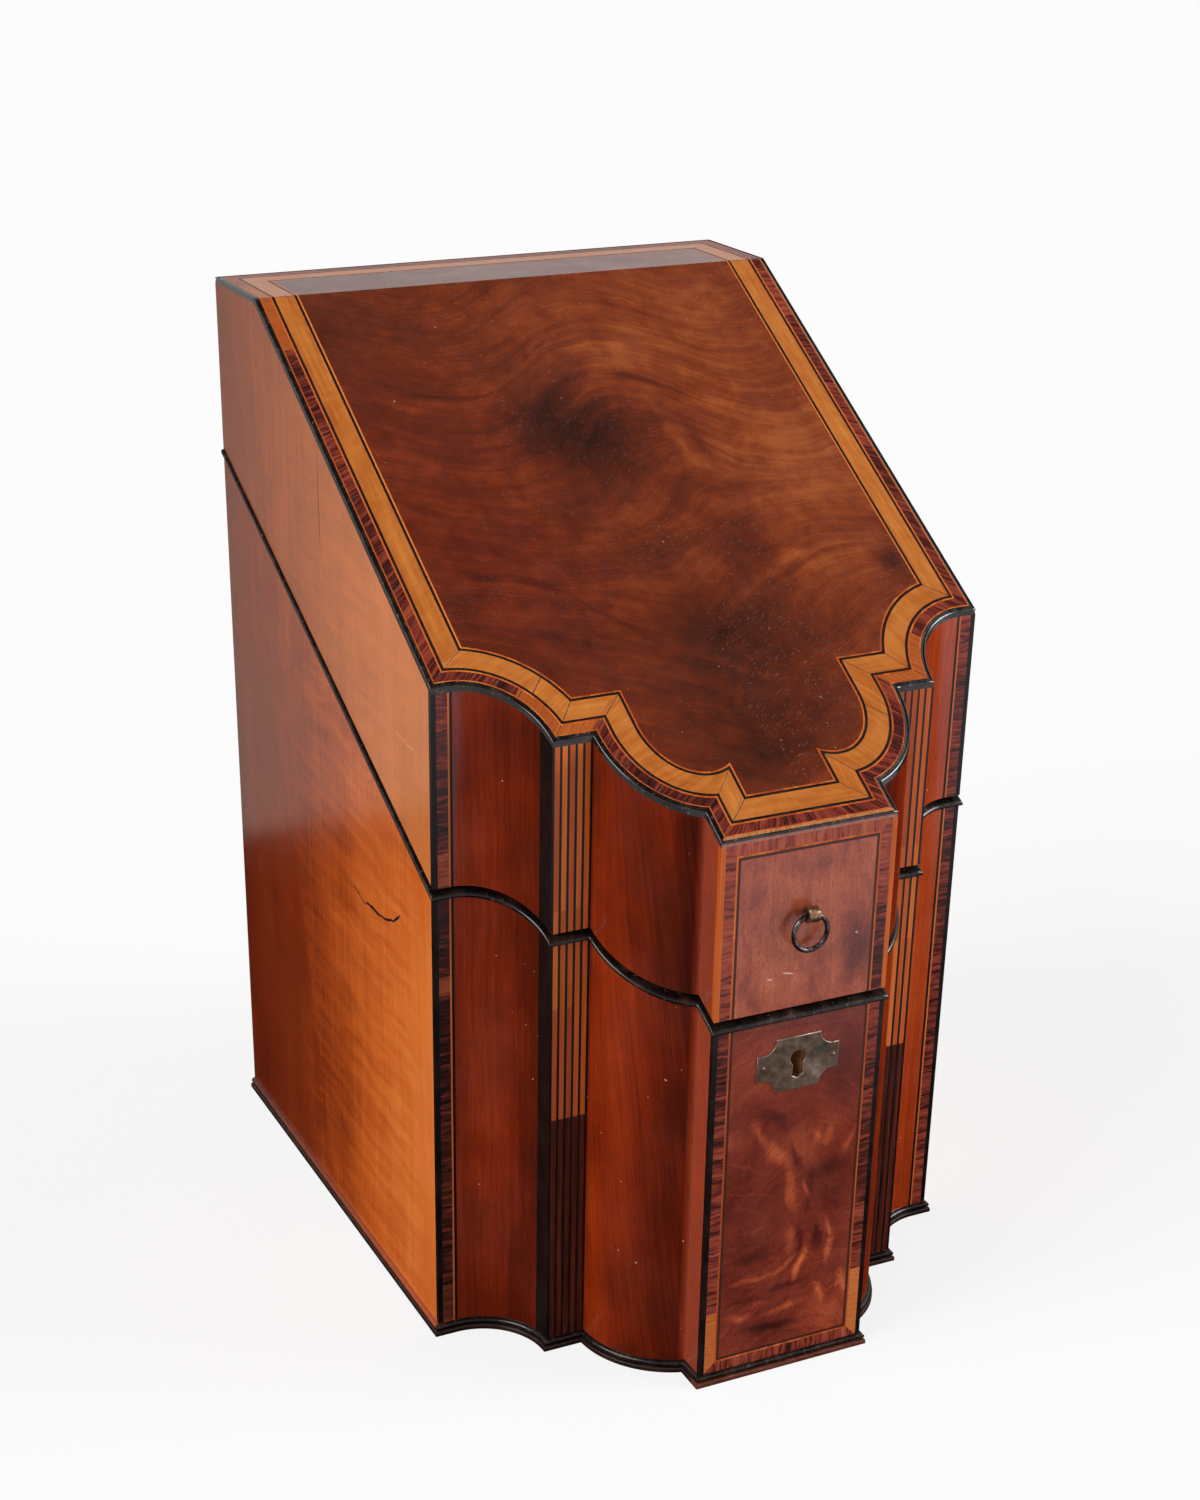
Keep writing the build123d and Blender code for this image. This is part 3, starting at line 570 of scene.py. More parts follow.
def side_mahogany():
    """Sides: tan mahogany, redder and darker to the rear, partly by painted light, upright grain with a
    ripple across it; paler upwards and on the lid by painted sheen.
    """
    p = Paint("side_mahogany")
    x, y, z = p.place()
    from_rear = Y_REAR - y
    drift = p.noise(y * 0.014, z * 0.007, x * 0.02) - 0.5
    zones = p.noise(y * 0.035 + drift * 1.2, z * 0.008, x * 0.03, 3) - 0.5
    streaks = p.noise(y * 0.42 + drift * 7, z * 0.01, x * 0.05, 4, 0.6) - 0.5
    fibres = p.noise(y * 4, z * 0.08, x) - 0.5
    pores = p.step(p.noise(y * 4.2, z * 0.26, x * 2 + 7, 1), 0.66, 0.74)
    leaning = z + from_rear * 0.06 + (p.noise(y * 0.03, z * 0.03, 3) - 0.5) * 14
    ripple = p.noise(y * 0.022, leaning * 0.2, x * 0.02, 3, 0.55) - 0.5
    ripple_window = p.step(from_rear, 50, 120) * p.step(from_rear, 222, 190)
    on_lid = p.step(over_lid_line(y, z), -1, 0)
    ripple_window = ripple_window * (on_lid * -0.25 + 1)
    cloud = p.noise(y * 0.06, z * 0.06, x * 0.05, 4) - 0.5
    trail = from_rear - 52 - (215 - z) * 0.26 + drift * 12
    trail_dark = p.step(abs(trail + 3), 7, 0)
    trail_light = p.step(abs(trail - 5), 6, 0)
    # Darker to the rear and low at the rear, paler low towards the front: partly the wood, partly painted
    # light that falls off towards the rear.
    light_and_pale_wood = p.step(from_rear, 66, 168) * p.step(z, 260, 120)
    tone = from_rear / 225 * 0.5 + 0.17 + light_and_pale_wood * 0.17 + zones * 0.24 + streaks * 0.22 + fibres * 0.09
    # Paler upwards from 170 mm: painted sheen of the polish.
    tone = tone + p.step(z, 170, 300) * 0.06 + ripple * ripple_window * 0.36 + cloud * 0.14
    tone = tone - p.step(z, 80, 10) * p.step(from_rear, 150, 230) * 0.07
    tone = tone + (trail_light - trail_dark) * 0.025 - p.ovals(p.vector(y, z), [(32, 52, 40, 60, 0.07)])
    colour = p.ramp(tone, (0.14, 99, 28, 7), (0.34, 130, 46, 12), (0.52, 170, 73, 22),
                    (0.68, 204, 98, 34), (0.86, 228, 124, 54))
    # On the lid the side is paler and greyer towards the front: painted sheen of the polish.
    colour = p.mix(on_lid * p.step(from_rear, 0, 230, 0.04, 0.36), colour, (206, 138, 80))
    colour = p.mix(pores * 0.3, colour, (92, 38, 16))
    dark, scratch = side_marks(p, x, y, z)
    colour = p.mix(dark, colour, (38, 16, 8))
    colour = p.mix(scratch, colour, (226, 160, 100))
    haze = p.noise(y * 0.03, z * 0.03, x * 0.03, 4)
    roughness = p.step(haze, 0.3, 0.7, 0.16, 0.24)
    relief = pores * -0.4 + dark * -1.4 + p.noise(y * 0.05, z * 0.05, x * 0.05) * 1.2
    return p.polished(colour, roughness, relief)


def plain_mahogany():
    """Red-brown mahogany of the coves, ovolos and returns; the grain leans a little on the ovolos. Painted
    shade darkens the ovolos towards the block and the coves towards the pilasters, and the right side is
    painted lighter.
    """
    p = Paint("plain_mahogany")
    x, y, z = p.place()
    out = abs(x)
    drift = p.grain(0.02, 0.02, 0.008) - 0.5
    on_ovolo = p.step(out, 66, 60)
    round_way = out + y * 0.7 - z * (on_ovolo * 0.12 + 0.02)
    zones = p.noise(round_way * 0.06 + drift * 1.6, z * 0.006, x * 0.01, 3) - 0.5
    streaks = p.noise(round_way * 0.6 + drift * 5, z * 0.009, x * 0.02, 4, 0.62) - 0.5
    fibres = p.noise(round_way * 3.6, z * 0.06, x * 0.1) - 0.5
    pores = p.step(p.noise(x * 3.8, y * 3.8, z * 0.2 + 5, 1), 0.65, 0.74)
    cloud = p.grain(0.05, 0.05, 0.04, 4) - 0.5
    inner_edge = (150 - z) * 0.04 + 49 + drift * 14
    # Painted shade: the ovolo darkens towards the block and the cove towards the pilaster, where they turn
    # from the light.
    ovolo_painted_shade = p.step(out, inner_edge + 9, inner_edge - 9) * p.step(out, 37.5, 39)
    cove_painted_shade = p.step(out, 98, 80) * p.step(out, 76, 77)
    tone = zones * 0.4 + streaks * 0.28 + fibres * 0.2 + cloud * 0.3 + 0.5 + z * 0.0001
    # Past x 30 to 60 the right side is painted lighter, as lit from the right.
    tone = tone - ovolo_painted_shade * 0.22 - cove_painted_shade * 0.17 + p.step(x, 30, 60) * 0.18
    tone = tone - p.step(over_lid_line(y, z), -1, 0) * on_ovolo * 0.08
    tone = tone - p.step(z, 110, 30) * p.step(out, 74, 78) * 0.06
    colour = p.ramp(tone, (0.18, 62, 16, 4), (0.34, 92, 25, 5), (0.5, 127, 37, 7), (0.64, 152, 51, 12),
                    (0.8, 180, 72, 24))
    returns = p.step(out, 37.2, 36.6)
    colour = p.mix(returns * 0.6, colour, (156, 72, 50))
    colour = p.mix(pores * 0.4, colour, (56, 18, 8))
    specks = p.step(p.fog(0.5, 1), 0.808, 0.82)
    colour = p.mix(specks * 0.7, colour, (222, 190, 166))
    haze = p.grain(0.04, 0.04, 0.03, 4)
    roughness = p.step(haze, 0.3, 0.7, 0.16, 0.27)
    relief = pores * -0.5 + p.grain(0.07, 0.07, 0.04)
    return p.polished(colour, roughness, relief)


# Figure that follows the grain, as soft ovals: (x, grain line, half sizes, level)
FLAME_STROKES = [
    (-10, 79.5, 30, 7.5, -0.17), (24, 84, 17, 4, -0.16), (-1, 91, 19, 3, 0.12), (0, 98, 24, 3.6, -0.1),
    (2, 104, 22, 2.4, 0.07), (0, 110, 24, 4.2, -0.08), (2, 132, 31, 3.2, 0.09), (4, 143, 27, 2.4, 0.06),
    (52, 182, 38, 3.8, 0.13), (62, 190, 36, 4.2, 0.05), (-52, 57, 45, 2, -0.1), (-48, 64, 42, 3.2, -0.05),
    (60, 47, 35, 3.2, -0.09), (58, 36, 31, 2.6, -0.07), (0, 160, 36, 2.8, 0.05), (-40, 166, 42, 2.2, 0.06),
    (-20, 40, 60, 3.8, 0.04), (14, 60, 27, 2.8, 0.09),
]
# Figure that crosses the grain, as strokes: (x, way down the slope, both again, half width, level)
FLAME_MARKS = [
    (-88, 153.5, -60, 158.5, 3.2, -0.14), (-67, 156, -45, 170, 3.6, -0.15), (-50, 166, -18, 200, 2.4, -0.1),
    (27, 74, 33, 120, 4, 0.09), (37, 84, 41, 128, 4.5, -0.09), (-18, 199, 22, 226, 3.4, 0.08),
    (-8, 238, 14, 208, 2.8, 0.06),
]
# Broad dark and light places, as soft ovals: (x, way down the slope, half sizes, level)
FLAME_ZONES = [
    (-16, 88, 42, 36, -0.25), (4, 100, 48, 42, -0.14), (6, 232, 66, 60, -0.18), (14, 196, 58, 34, -0.15),
    (91, 175, 14, 15, -0.24), (0, 34, 15, 34, -0.1), (36, 150, 20, 46, -0.09), (-74, 200, 60, 40, -0.05),
    (70, 105, 72, 80, 0.15), (52, 30, 80, 60, 0.09), (24, 58, 42, 30, 0.09), (66, 166, 46, 22, 0.08),
    (-20, 20, 60, 24, 0.05), (-4, 153, 30, 16, -0.13), (34, 160, 20, 14, -0.1), (-2, 258, 26, 20, -0.12),
    (0, 31, 22, 20, 0.14), (-84, 20, 26, 26, -0.09), (0, 196, 26, 16, -0.07),
]


def flame_line(p, x, s):
    """The grain line through a point of the lid's top: crests, then arcs, then a point at the foot."""
    crest = p.math("COSINE", (x + 48) * (2 * pi / 130)) * 12 - 4
    hang = p.math("COSINE", (x + 30) * (2 * pi / 200)) * 13 - 6
    point = abs(x) * -0.55 + 14
    middle = p.step(s, 108, 142)
    lower = p.step(s, 150, 195)
    upper_part = crest + (hang - crest) * middle
    lift = upper_part + (point - upper_part) * lower
    lift = lift + p.ovals(p.vector(x, s), [(8, 74, 46, 50, -11), (32, 112, 22, 34, -9)])
    return s - lift


def flame_mahogany():
    """The lid's top: mahogany whose grain rises over a dark eye and hangs in arcs below it."""
    p = Paint("flame_mahogany")
    x, y, _ = p.place()
    s = (Y_BREAK - y) / SLOPE_COS
    face = p.vector(x, s)
    wander = (p.noise(x * 0.022, s * 0.022, 0.7) - 0.5) * 12
    waver = (p.noise(x * 0.09, s * 0.1, 4.1, 3, 0.55) - 0.5) * 3.6
    line = flame_line(p, x, s)
    grain = line + wander + waver
    bands = p.noise(grain * 0.085, x * 0.013, 5) - 0.5
    streaks = p.noise(grain * 0.3, x * 0.021, 2, 3, 0.6) - 0.5
    fine = p.noise(grain * 0.95, x * 0.034, 6, 3, 0.6) - 0.5
    cloud = p.noise(x * 0.035, s * 0.035, 8, 4, 0.55, distortion=0.5) - 0.5
    mottle = p.noise(x * 0.14, s * 0.12, 3, 3, 0.6) - 0.5
    pores = p.step(p.noise(grain * 2.2, x * 0.3, 3), 0.61, 0.7)
    pore_window = p.step(x, 10, -50) * 0.4 + 0.3
    figure = p.ovals(p.vector(x, line + waver), FLAME_STROKES)
    marks = p.strokes(p.vector(x + wander * 0.5, s + waver * 1.5), FLAME_MARKS, core=0.1)
    zones = p.ovals(face, FLAME_ZONES)
    tone = bands * 0.26 + streaks * 0.23 + fine * 0.18 + cloud * 0.36 + mottle * 0.3 + 0.5 + x * 0.0004
    tone = tone + (figure + marks) * (mottle * 1.5 + 1) + zones * (streaks * 1.2 + cloud + 1)
    colour = p.ramp(tone, (0.12, 46, 20, 13), (0.3, 76, 30, 16), (0.46, 104, 41, 19), (0.6, 130, 56, 25),
                    (0.78, 160, 82, 38))
    reddish = p.ovals(face, [(-86, 150, 110, 170, 0.4)])
    colour = p.mix(reddish, colour, p.mix(1, colour, (240, 160, 140), "MULTIPLY"))
    colour = p.mix(pores * pore_window, colour, (42, 17, 11))
    specks = p.step(p.noise(x * 0.42, s * 0.42, 3.3, 1), 0.805, 0.817)
    colour = p.mix(specks * 0.6, colour, (190, 160, 140))
    haze = p.noise(x * 0.03, s * 0.03, 1, 5)
    roughness = p.step(haze, 0.3, 0.7, 0.18, 0.3)
    relief = pores * -0.4 + p.noise(x * 0.05, s * 0.05, 2) * 1.4
    return p.polished(colour, roughness, relief)


# Figure on the base block, as strokes: (x, z, both again, half width, level)
CROTCH_MARKS = [
    (-31, 99, -8, 88, 1.1, 0.06), (-31, 85, -6, 79, 0.9, 0.06), (-31, 79, -8, 73, 0.8, 0.05),
    (-28, 67, 0, 65, 0.9, 0.05), (-21, 115, -10, 100, 4, 0.14), (-14, 104, 1, 88, 4.6, 0.15),
    (-2, 93, 3, 65, 3.6, 0.17), (6, 83, 10, 71, 2.2, 0.17), (2, 65, 1, 49, 3.6, 0.12),
    (10, 53, 3, 37, 3, 0.26), (15, 67, 21, 50, 2.1, 0.15), (21, 57, 17, 41, 2.8, 0.17),
    (-27, 42, -4, 43, 1.9, 0.15), (-8, 41, 8, 51, 2.1, 0.15), (-28, 28, -10, 25, 3, 0.14),
    (-13, 25, 11, 29, 2.8, 0.14), (12, 37, 18, 23, 3.4, 0.17), (22, 89, 28, 103, 2.5, 0.15),
    (24, 41, 28, 23, 3.4, 0.15), (10, 95, 12, 107, 2.9, 0.08), (15, 94, 18, 107, 2.7, 0.08),
    (-2, 101, 6, 85, 1.9, -0.15), (10, 89, 8, 65, 2.5, -0.13), (6, 67, 5, 43, 2.3, -0.14),
    (-14, 117, 0, 106, 5.5, -0.12), (12, 63, 14, 47, 3, -0.15), (-23, 20, 9, 20, 3, -0.16),
    (-27, 53, -2, 54, 4.5, -0.11), (-13, 36, 13, 38, 2.1, -0.11), (4, 84, 28, 88, 5.5, -0.11),
    (-27, 34, -4, 34, 2.3, -0.08),
]
# Broad places, as soft ovals: (x, z, half sizes, level)
CROTCH_ZONES = [
    (-16, 134, 26, 30, 0.08), (-19, 114, 12, 12, -0.08), (4, 96, 10, 10, 0.08), (-5, 20, 20, 12, -0.1),
    (11, 50, 10, 12, 0.06), (20, 18, 22, 22, 0.14), (14, 102, 18, 14, 0.08), (-18, 70, 20, 46, -0.08),
    (20, 130, 16, 26, -0.12), (18, 76, 14, 16, -0.1),
]


def crotch_mahogany():
    """Base block: a crotch figure, a pale plume over a wavy spine with swirls below."""
    p = Paint("crotch_mahogany")
    x, _, z = p.place()
    warp = p.noise(x * 0.06, z * 0.04, 0.4, 3, 0.55) - 0.5
    fold = p.noise(x * 0.16, z * 0.1, 2.4, 3, 0.6) - 0.5
    spine = x - 5 + p.math("SINE", z * 0.11) * 2.5 + warp * 8
    off = abs(spine)
    plume = z + off * 0.5 + warp * 20 + fold * 9
    feather = p.noise(plume * 0.16, spine * 0.05, 2, 3, 0.6) - 0.5
    streaks = p.noise(plume * 0.6, spine * 0.1, 6, 4, 0.65) - 0.5
    upright = p.noise(spine * 0.35 + fold * 2, z * 0.03, 4, 3) - 0.5
    cloud = p.noise(x * 0.05, z * 0.035, 7, 3) - 0.5
    pores = p.step(p.noise(x * 3.6, z * 0.5, 2, 1), 0.66, 0.74)
    swirls = p.step(z, 74, 48)
    figure = p.strokes(p.vector(x + fold * 7, z + warp * 6 + fold * 3), CROTCH_MARKS, core=0.1)
    zones = p.ovals(p.vector(x, z), CROTCH_ZONES)
    tone = feather * 0.24 + streaks * (swirls * 0.18 + 0.2) + upright * 0.1 + cloud * 0.22 + 0.44
    speckle = p.noise(x, z * 0.8, 3, 3, 0.65) - 0.5
    tone = tone + figure * (streaks + 1.25) + zones + speckle * 0.16
    colour = p.ramp(tone, (0.16, 60, 21, 17), (0.34, 94, 34, 24), (0.48, 124, 48, 31),
                    (0.62, 158, 70, 40), (0.8, 196, 102, 58))
    colour = p.mix(pores * 0.3, colour, (48, 18, 14))
    worn = p.step(p.noise(x * 0.5, z, 5, 3), 0.45, 0.6)
    stain = p.strokes(p.vector(x, z + fold * 2), [(-24, 150.8, 24, 148.8, 1.6, 0.6)]) * worn
    colour = p.mix(stain, colour, (54, 26, 22))
    roughness = p.step(cloud, -0.2, 0.2, 0.17, 0.28)
    relief = pores * -0.5 + p.noise(x * 0.07, z * 0.05, 2) * 1.2
    return p.polished(colour, roughness, relief)


def lid_block_mahogany():
    """Lid block: pinkish brown, mottled, with short dark flecks and purple shadows."""
    p = Paint("lid_block_mahogany")
    x, _, z = p.place()
    face = p.vector(x, z)
    warp = p.noise(x * 0.05, z * 0.03, 5.4, 3) - 0.5
    mottle = p.noise(x * 0.12 + warp * 2, z * 0.06, 1, 4, 0.6) - 0.5
    streaks = p.noise(x * 0.8 + warp * 5, z * 0.05, 3, 4, 0.65) - 0.5
    flecks = p.step(p.noise(x * 1.9, z * 0.42, 9), 0.62, 0.7)
    zones = p.ovals(face, [
        (22, 178, 12, 20, -0.24), (6, 212, 20, 7, -0.08), (-22, 205, 9, 9, -0.08), (-12, 176, 16, 24, 0.1),
        (8, 200, 14, 24, 0.08),
    ])
    pits = p.noise(x * 1.1, z * 0.8, 6, 3, 0.65) - 0.5
    tone = mottle * 0.56 + streaks * 0.3 + pits * 0.32 + zones + 0.46
    colour = p.ramp(tone, (0.2, 92, 40, 33), (0.38, 132, 60, 41), (0.52, 162, 79, 52), (0.72, 190, 107, 72))
    colour = p.mix(flecks * 0.4, colour, (84, 34, 28))
    scratches = p.strokes(face, [
        (-9, 172.8, -3.5, 171.4, 0.5, 0.6), (-15, 171.3, -12.6, 170.7, 0.5, 0.6),
        (21.2, 183.5, 22.4, 183.1, 0.6, 0.6),
    ])
    colour = p.mix(scratches, colour, (226, 196, 178))
    roughness = p.step(mottle, -0.2, 0.2, 0.2, 0.3)
    relief = flecks * -0.4 + p.noise(x * 0.07, z * 0.05, 2) * 1.2
    return p.polished(colour, roughness, relief)


def satinwood():
    """Golden band: grain along it at the sides and across it at the front."""
    p = Paint("satinwood")
    along, across = p.band_place()
    tone, kind, chance, seam = p.piece_values()
    tilt = across * 0.35
    u = p.math("MULTIPLY_ADD", kind, across - along, along)
    v = p.math("MULTIPLY_ADD", kind, (along + tilt) - across, across)
    offset = chance * 40
    streaks = p.noise(v * 0.55 + offset, u * 0.035, chance * 9, 4, 0.6)
    fibres = p.noise(v * 3.2, u * 0.12, offset)
    ripple = p.noise(v * 0.12, u * 0.3 + offset, 2, 3)
    cloud = p.noise(along * 0.05, across * 0.1, 4, 3)
    level = streaks * 0.46 + fibres * 0.14 + (ripple - 0.5) * 0.2 + cloud * 0.26 + (tone - 0.5) * 0.3 + 0.06
    colour = p.ramp(level, (0.28, 158, 78, 25), (0.44, 184, 102, 38), (0.58, 201, 122, 50),
                    (0.76, 220, 148, 74))
    joint = p.step(seam, 0.34, 0.12)
    colour = p.mix(joint * 0.75, colour, (70, 34, 16))
    dark_fleck = p.step(p.noise(v * 1.6, u * 0.12, 8), 0.68, 0.76)
    colour = p.mix(dark_fleck * 0.3, colour, (122, 60, 22))
    relief = fibres * 0.3 + joint * -1
    roughness = p.step(cloud, 0.3, 0.7, 0.24, 0.36)
    return p.polished(colour, roughness, relief, 0.1)


def kingwood():
    """Crossbanding: dark stripes square to the edge, cut in short pieces of several woods."""
    p = Paint("kingwood")
    along, across = p.band_place()
    tone, kind, chance, seam = p.piece_values()
    sway = (p.noise(along * 0.2, across * 0.25, chance * 5) - 0.5) * 1.6
    place = along + sway + chance * 50
    stripes = p.noise(place * 0.62, across * 0.06, chance * 30, 3, 0.62)
    fine = p.noise(place * 2.4, across * 0.2, chance * 11, 3)
    level = stripes * 0.72 + fine * 0.24 + (tone - 0.5) * 0.4
    striped = p.ramp(level, (0.3, 38, 17, 13), (0.42, 74, 26, 21), (0.5, 124, 46, 33),
                     (0.64, 158, 72, 48), (0.8, 178, 98, 58))
    calm = fine * 0.4 + stripes * 0.25 + tone * 0.35
    plain = p.ramp(calm, (0.25, 128, 56, 22), (0.5, 172, 84, 34), (0.75, 206, 122, 58))
    colour = p.mix(p.step(kind, 0.3, 0.7), striped, plain)
    joint = p.step(seam, 0.3, 0.12)
    colour = p.mix(joint * 0.6, colour, (28, 14, 10))
    relief = fine * 0.5 + joint * -1
    return p.surface(colour, p.step(stripes, 0.3, 0.7, 0.26, 0.38), relief, coat=0.2,
                     coat_roughness=0.15, specular=0.25)


def boxwood():
    """Fine orange lines and the flutes, each flute with a tone of its own."""
    p = Paint("boxwood")
    x, _, z = p.place()
    flute = p.math("FLOOR", (abs(x) - PILASTER_IN_X) / FLUTE_PITCH)
    own = p.chance(flute, p.step(x, -1, 1), p.step(z, 150, 190))
    streaks = p.grain(1.6, 1.6, 0.03, 3, 0.6)
    fibres = p.grain(6, 6, 0.15)
    outer = p.step(flute, 3.2, 3.9)
    level = streaks * 0.45 + fibres * 0.12 + own * 0.34 + outer * 0.12 + 0.04
    colour = p.ramp(level, (0.25, 142, 54, 14), (0.45, 176, 76, 20), (0.6, 200, 98, 30),
                    (0.8, 220, 126, 48))
    return p.surface(colour, p.step(streaks, 0.3, 0.7, 0.38, 0.5), fibres, 0.05, coat=0.1, specular=0.25)


def rosewood():
    """Dark lower part of the flutes, with faint brown streaks."""
    p = Paint("rosewood")
    streaks = p.grain(1.4, 1.4, 0.03, 4, 0.65)
    fibres = p.grain(6, 6, 0.12)
    colour = p.ramp(streaks * 0.7 + fibres * 0.3, (0.35, 46, 14, 9), (0.5, 78, 25, 13), (0.66, 114, 44, 20))
    return p.polished(colour, 0.3, fibres, 0.06)


def ebony():
    """Black lines and strings, rubbed brown and grey along the edges."""
    p = Paint("ebony")
    x, y, _ = p.place()
    wear = p.fog(0.1, 5, 0.65)
    fibres = p.grain(2.5, 2.5, 0.3, 3)
    colour = p.ramp(wear * 0.6 + fibres * 0.4, (0.36, 12, 9, 8), (0.5, 20, 13, 11), (0.62, 32, 19, 15),
                    (0.75, 52, 31, 24))
    inner_line = p.step(y, Y_BLOCK + 1.5, Y_BLOCK + 1.2) * p.step(abs(x), 30.2, 29.8)
    colour = p.mix(inner_line * 0.55, colour, (86, 42, 30))
    return p.surface(colour, p.step(wear, 0.35, 0.65, 0.3, 0.45), fibres, 0.08, coat=0.1,
                     coat_roughness=0.15, specular=0.3)


def handled_black(p):
    """Black wood polished by handling: its wear from 0 to 1, and its colour."""
    wear = p.fog(0.14, 5, 0.7)
    return wear, p.ramp(wear, (0.34, 11, 8, 8), (0.5, 22, 14, 12), (0.62, 42, 26, 20), (0.74, 84, 60, 48))


def worn_ebony():
    """Arris strings and beads: black, polished by handling, with pale chips."""
    p = Paint("worn_ebony")
    _, y, z = p.place()
    wear, black = handled_black(p)
    chips = p.step(p.fog(0.5, 3, 0.6), 0.64, 0.7)
    colour = p.mix(chips * 0.4, black, (112, 90, 80))
    along_side = p.step(z, 7, 6) * p.step(y, Y_CORNER - 0.5, Y_CORNER + 0.5)
    mahogany = p.ramp((Y_REAR - y) / 230 + (wear - 0.5) * 0.4, (0, 84, 27, 10), (0.45, 140, 56, 18),
                      (0.85, 178, 80, 30))
    colour = p.mix(along_side * 0.85, colour, mahogany)
    relief = wear * 0.8 + chips * -0.5
    return p.surface(colour, p.step(wear, 0.35, 0.65, 0.16, 0.36), relief, 0.25, coat=0.2,
                     coat_roughness=0.18, specular=0.35)


def lid_arris():
    """Edge of the lid's top: black, but only a thin dark line between boxwood and banding on the block."""
    p = Paint("lid_arris")
    x, y, _ = p.place()
    along, across = p.band_place()
    wear, black = handled_black(p)
    fine = p.noise(along * 0.9, across * 0.3, 2, 3)
    box_line = p.ramp(fine, (0.3, 150, 84, 40), (0.7, 206, 140, 82))
    banding = p.ramp(fine * 0.6 + wear * 0.4, (0.3, 110, 54, 42), (0.7, 176, 106, 84))
    into_front = (BLOCK_HALF - abs(x)) - (y - Y_BLOCK)
    on_front = p.step(into_front, -0.02, 0.02) * p.step(y, Y_BLOCK + STRING + 0.2, Y_BLOCK + STRING + 0.1)
    line_part = on_front * p.step(across, 1.25, 1.15)
    band_part = on_front * p.step(across, 2.55, 2.65)
    colour = p.mix(line_part, black, box_line)
    colour = p.mix(band_part, colour, banding)
    chips = p.step(p.fog(0.5, 3, 0.6), 0.62, 0.68)
    colour = p.mix(chips * 0.4, colour, (122, 98, 88))
    relief = wear * 0.8 + chips * -0.5
    return p.surface(colour, p.step(wear, 0.35, 0.65, 0.16, 0.36), relief, 0.25, coat=0.5)


def stained_wood():
    """Fillet at the foot: brown along the block, nearly black elsewhere, scuffed."""
    p = Paint("stained_wood")
    _, y, _ = p.place()
    wear = p.grain(0.12, 0.12, 0.5, 5, 0.65)
    grain = p.grain(0.3, 0.3, 4, 3)
    level = wear * 0.6 + grain * 0.4
    dark = p.ramp(level, (0.34, 22, 13, 11), (0.52, 44, 24, 18), (0.7, 82, 50, 38))
    brown = p.ramp(level, (0.34, 60, 26, 18), (0.52, 100, 48, 34), (0.7, 136, 78, 58))
    colour = p.mix(p.step(y, Y_BLOCK + 4, Y_BLOCK), dark, brown)
    return p.surface(colour, p.step(wear, 0.35, 0.65, 0.28, 0.45), grain, 0.12, coat=0.3, specular=0.4)


def carcase_wood(name, lying):
    """Pale pine-like secondary wood, grain upright or, in lying boards, across the box."""
    p = Paint(name)
    x, y, z = p.place()
    along, across = (x, z) if lying else (z, x)
    rings = p.noise(along * 0.012, across * 0.25, y * 0.25, 3, 0.6)
    fibres = p.noise(along * 0.06, across * 2.8, y * 2.8, 3)
    colour = p.ramp(rings * 0.65 + fibres * 0.35, (0.3, 132, 84, 48), (0.5, 164, 112, 68),
                    (0.7, 190, 142, 94))
    outside = p.step(y, Y_REAR - 0.6, Y_REAR - 0.4)
    soiled = p.fog(0.02, 5, 0.6) * 0.5 + 0.25
    colour = p.mix(outside * soiled, colour, (84, 48, 26))
    return p.surface(colour, p.step(fibres, 0.3, 0.7, 0.5, 0.66), fibres, 0.12, specular=0.3)


def board_veneer():
    """Mahogany top of the knife board, grain running across the box."""
    p = Paint("board_veneer")
    streaks = p.grain(0.012, 0.5, 0.5, 4, 0.62)
    fibres = p.grain(0.08, 3.5, 3.5)
    pores = p.step(p.grain(0.25, 3.8, 3.8, 1), 0.66, 0.74)
    colour = p.ramp(streaks * 0.7 + fibres * 0.28, (0.3, 98, 40, 20), (0.5, 142, 62, 30),
                    (0.7, 176, 88, 46))
    colour = p.mix(pores * 0.4, colour, (70, 28, 14))
    return p.surface(colour, 0.34, pores * -1, coat=0.2, specular=0.35)


def baize():
    """Faded green wool lining."""
    p = Paint("baize")
    nap = p.fog(2.6, 3, 0.7)
    fade = p.fog(0.02, 3)
    colour = p.ramp(nap * 0.5 + fade * 0.5, (0.32, 32, 48, 30), (0.5, 48, 68, 42), (0.7, 74, 92, 58))
    return p.surface(colour, 0.95, nap, 0.4, specular=0.1, sheen=0.4)


# --- Metals ---
def metal(name, dark, body, pale, roughness, scale):
    """Handled metal: tarnish in patches, fine scratches and rubbed high spots."""
    p = Paint(name)
    x, y, z = p.place()
    patina = p.noise(x * 0.22 * scale, y * 0.22 * scale, z * 0.22 * scale, 5, 0.65)
    grain = p.fog(3, 3)
    rubbed = p.step(patina, 0.58, 0.7)
    colour = p.ramp(patina * 0.8 + grain * 0.2, (0.34, *dark), (0.5, *body), (0.68, *pale))
    finish = p.step(patina, 0.3, 0.7, roughness + 0.14, roughness - 0.06)
    return p.surface(colour, finish, grain * 0.6 + rubbed, 0.06, metallic=0.9)


METALS = {                # dark, body and pale colour, roughness, scale of the tarnish
    "steel": ((72, 70, 68), (118, 116, 112), (160, 158, 152), 0.36, 1),
    "brass": ((112, 82, 38), (168, 130, 66), (206, 170, 100), 0.32, 1),
    "eye_brass": ((92, 64, 48), (150, 112, 84), (206, 174, 146), 0.3, 3),
    "dark_iron": ((44, 36, 36), (80, 71, 70), (150, 144, 146), 0.13, 2),
}


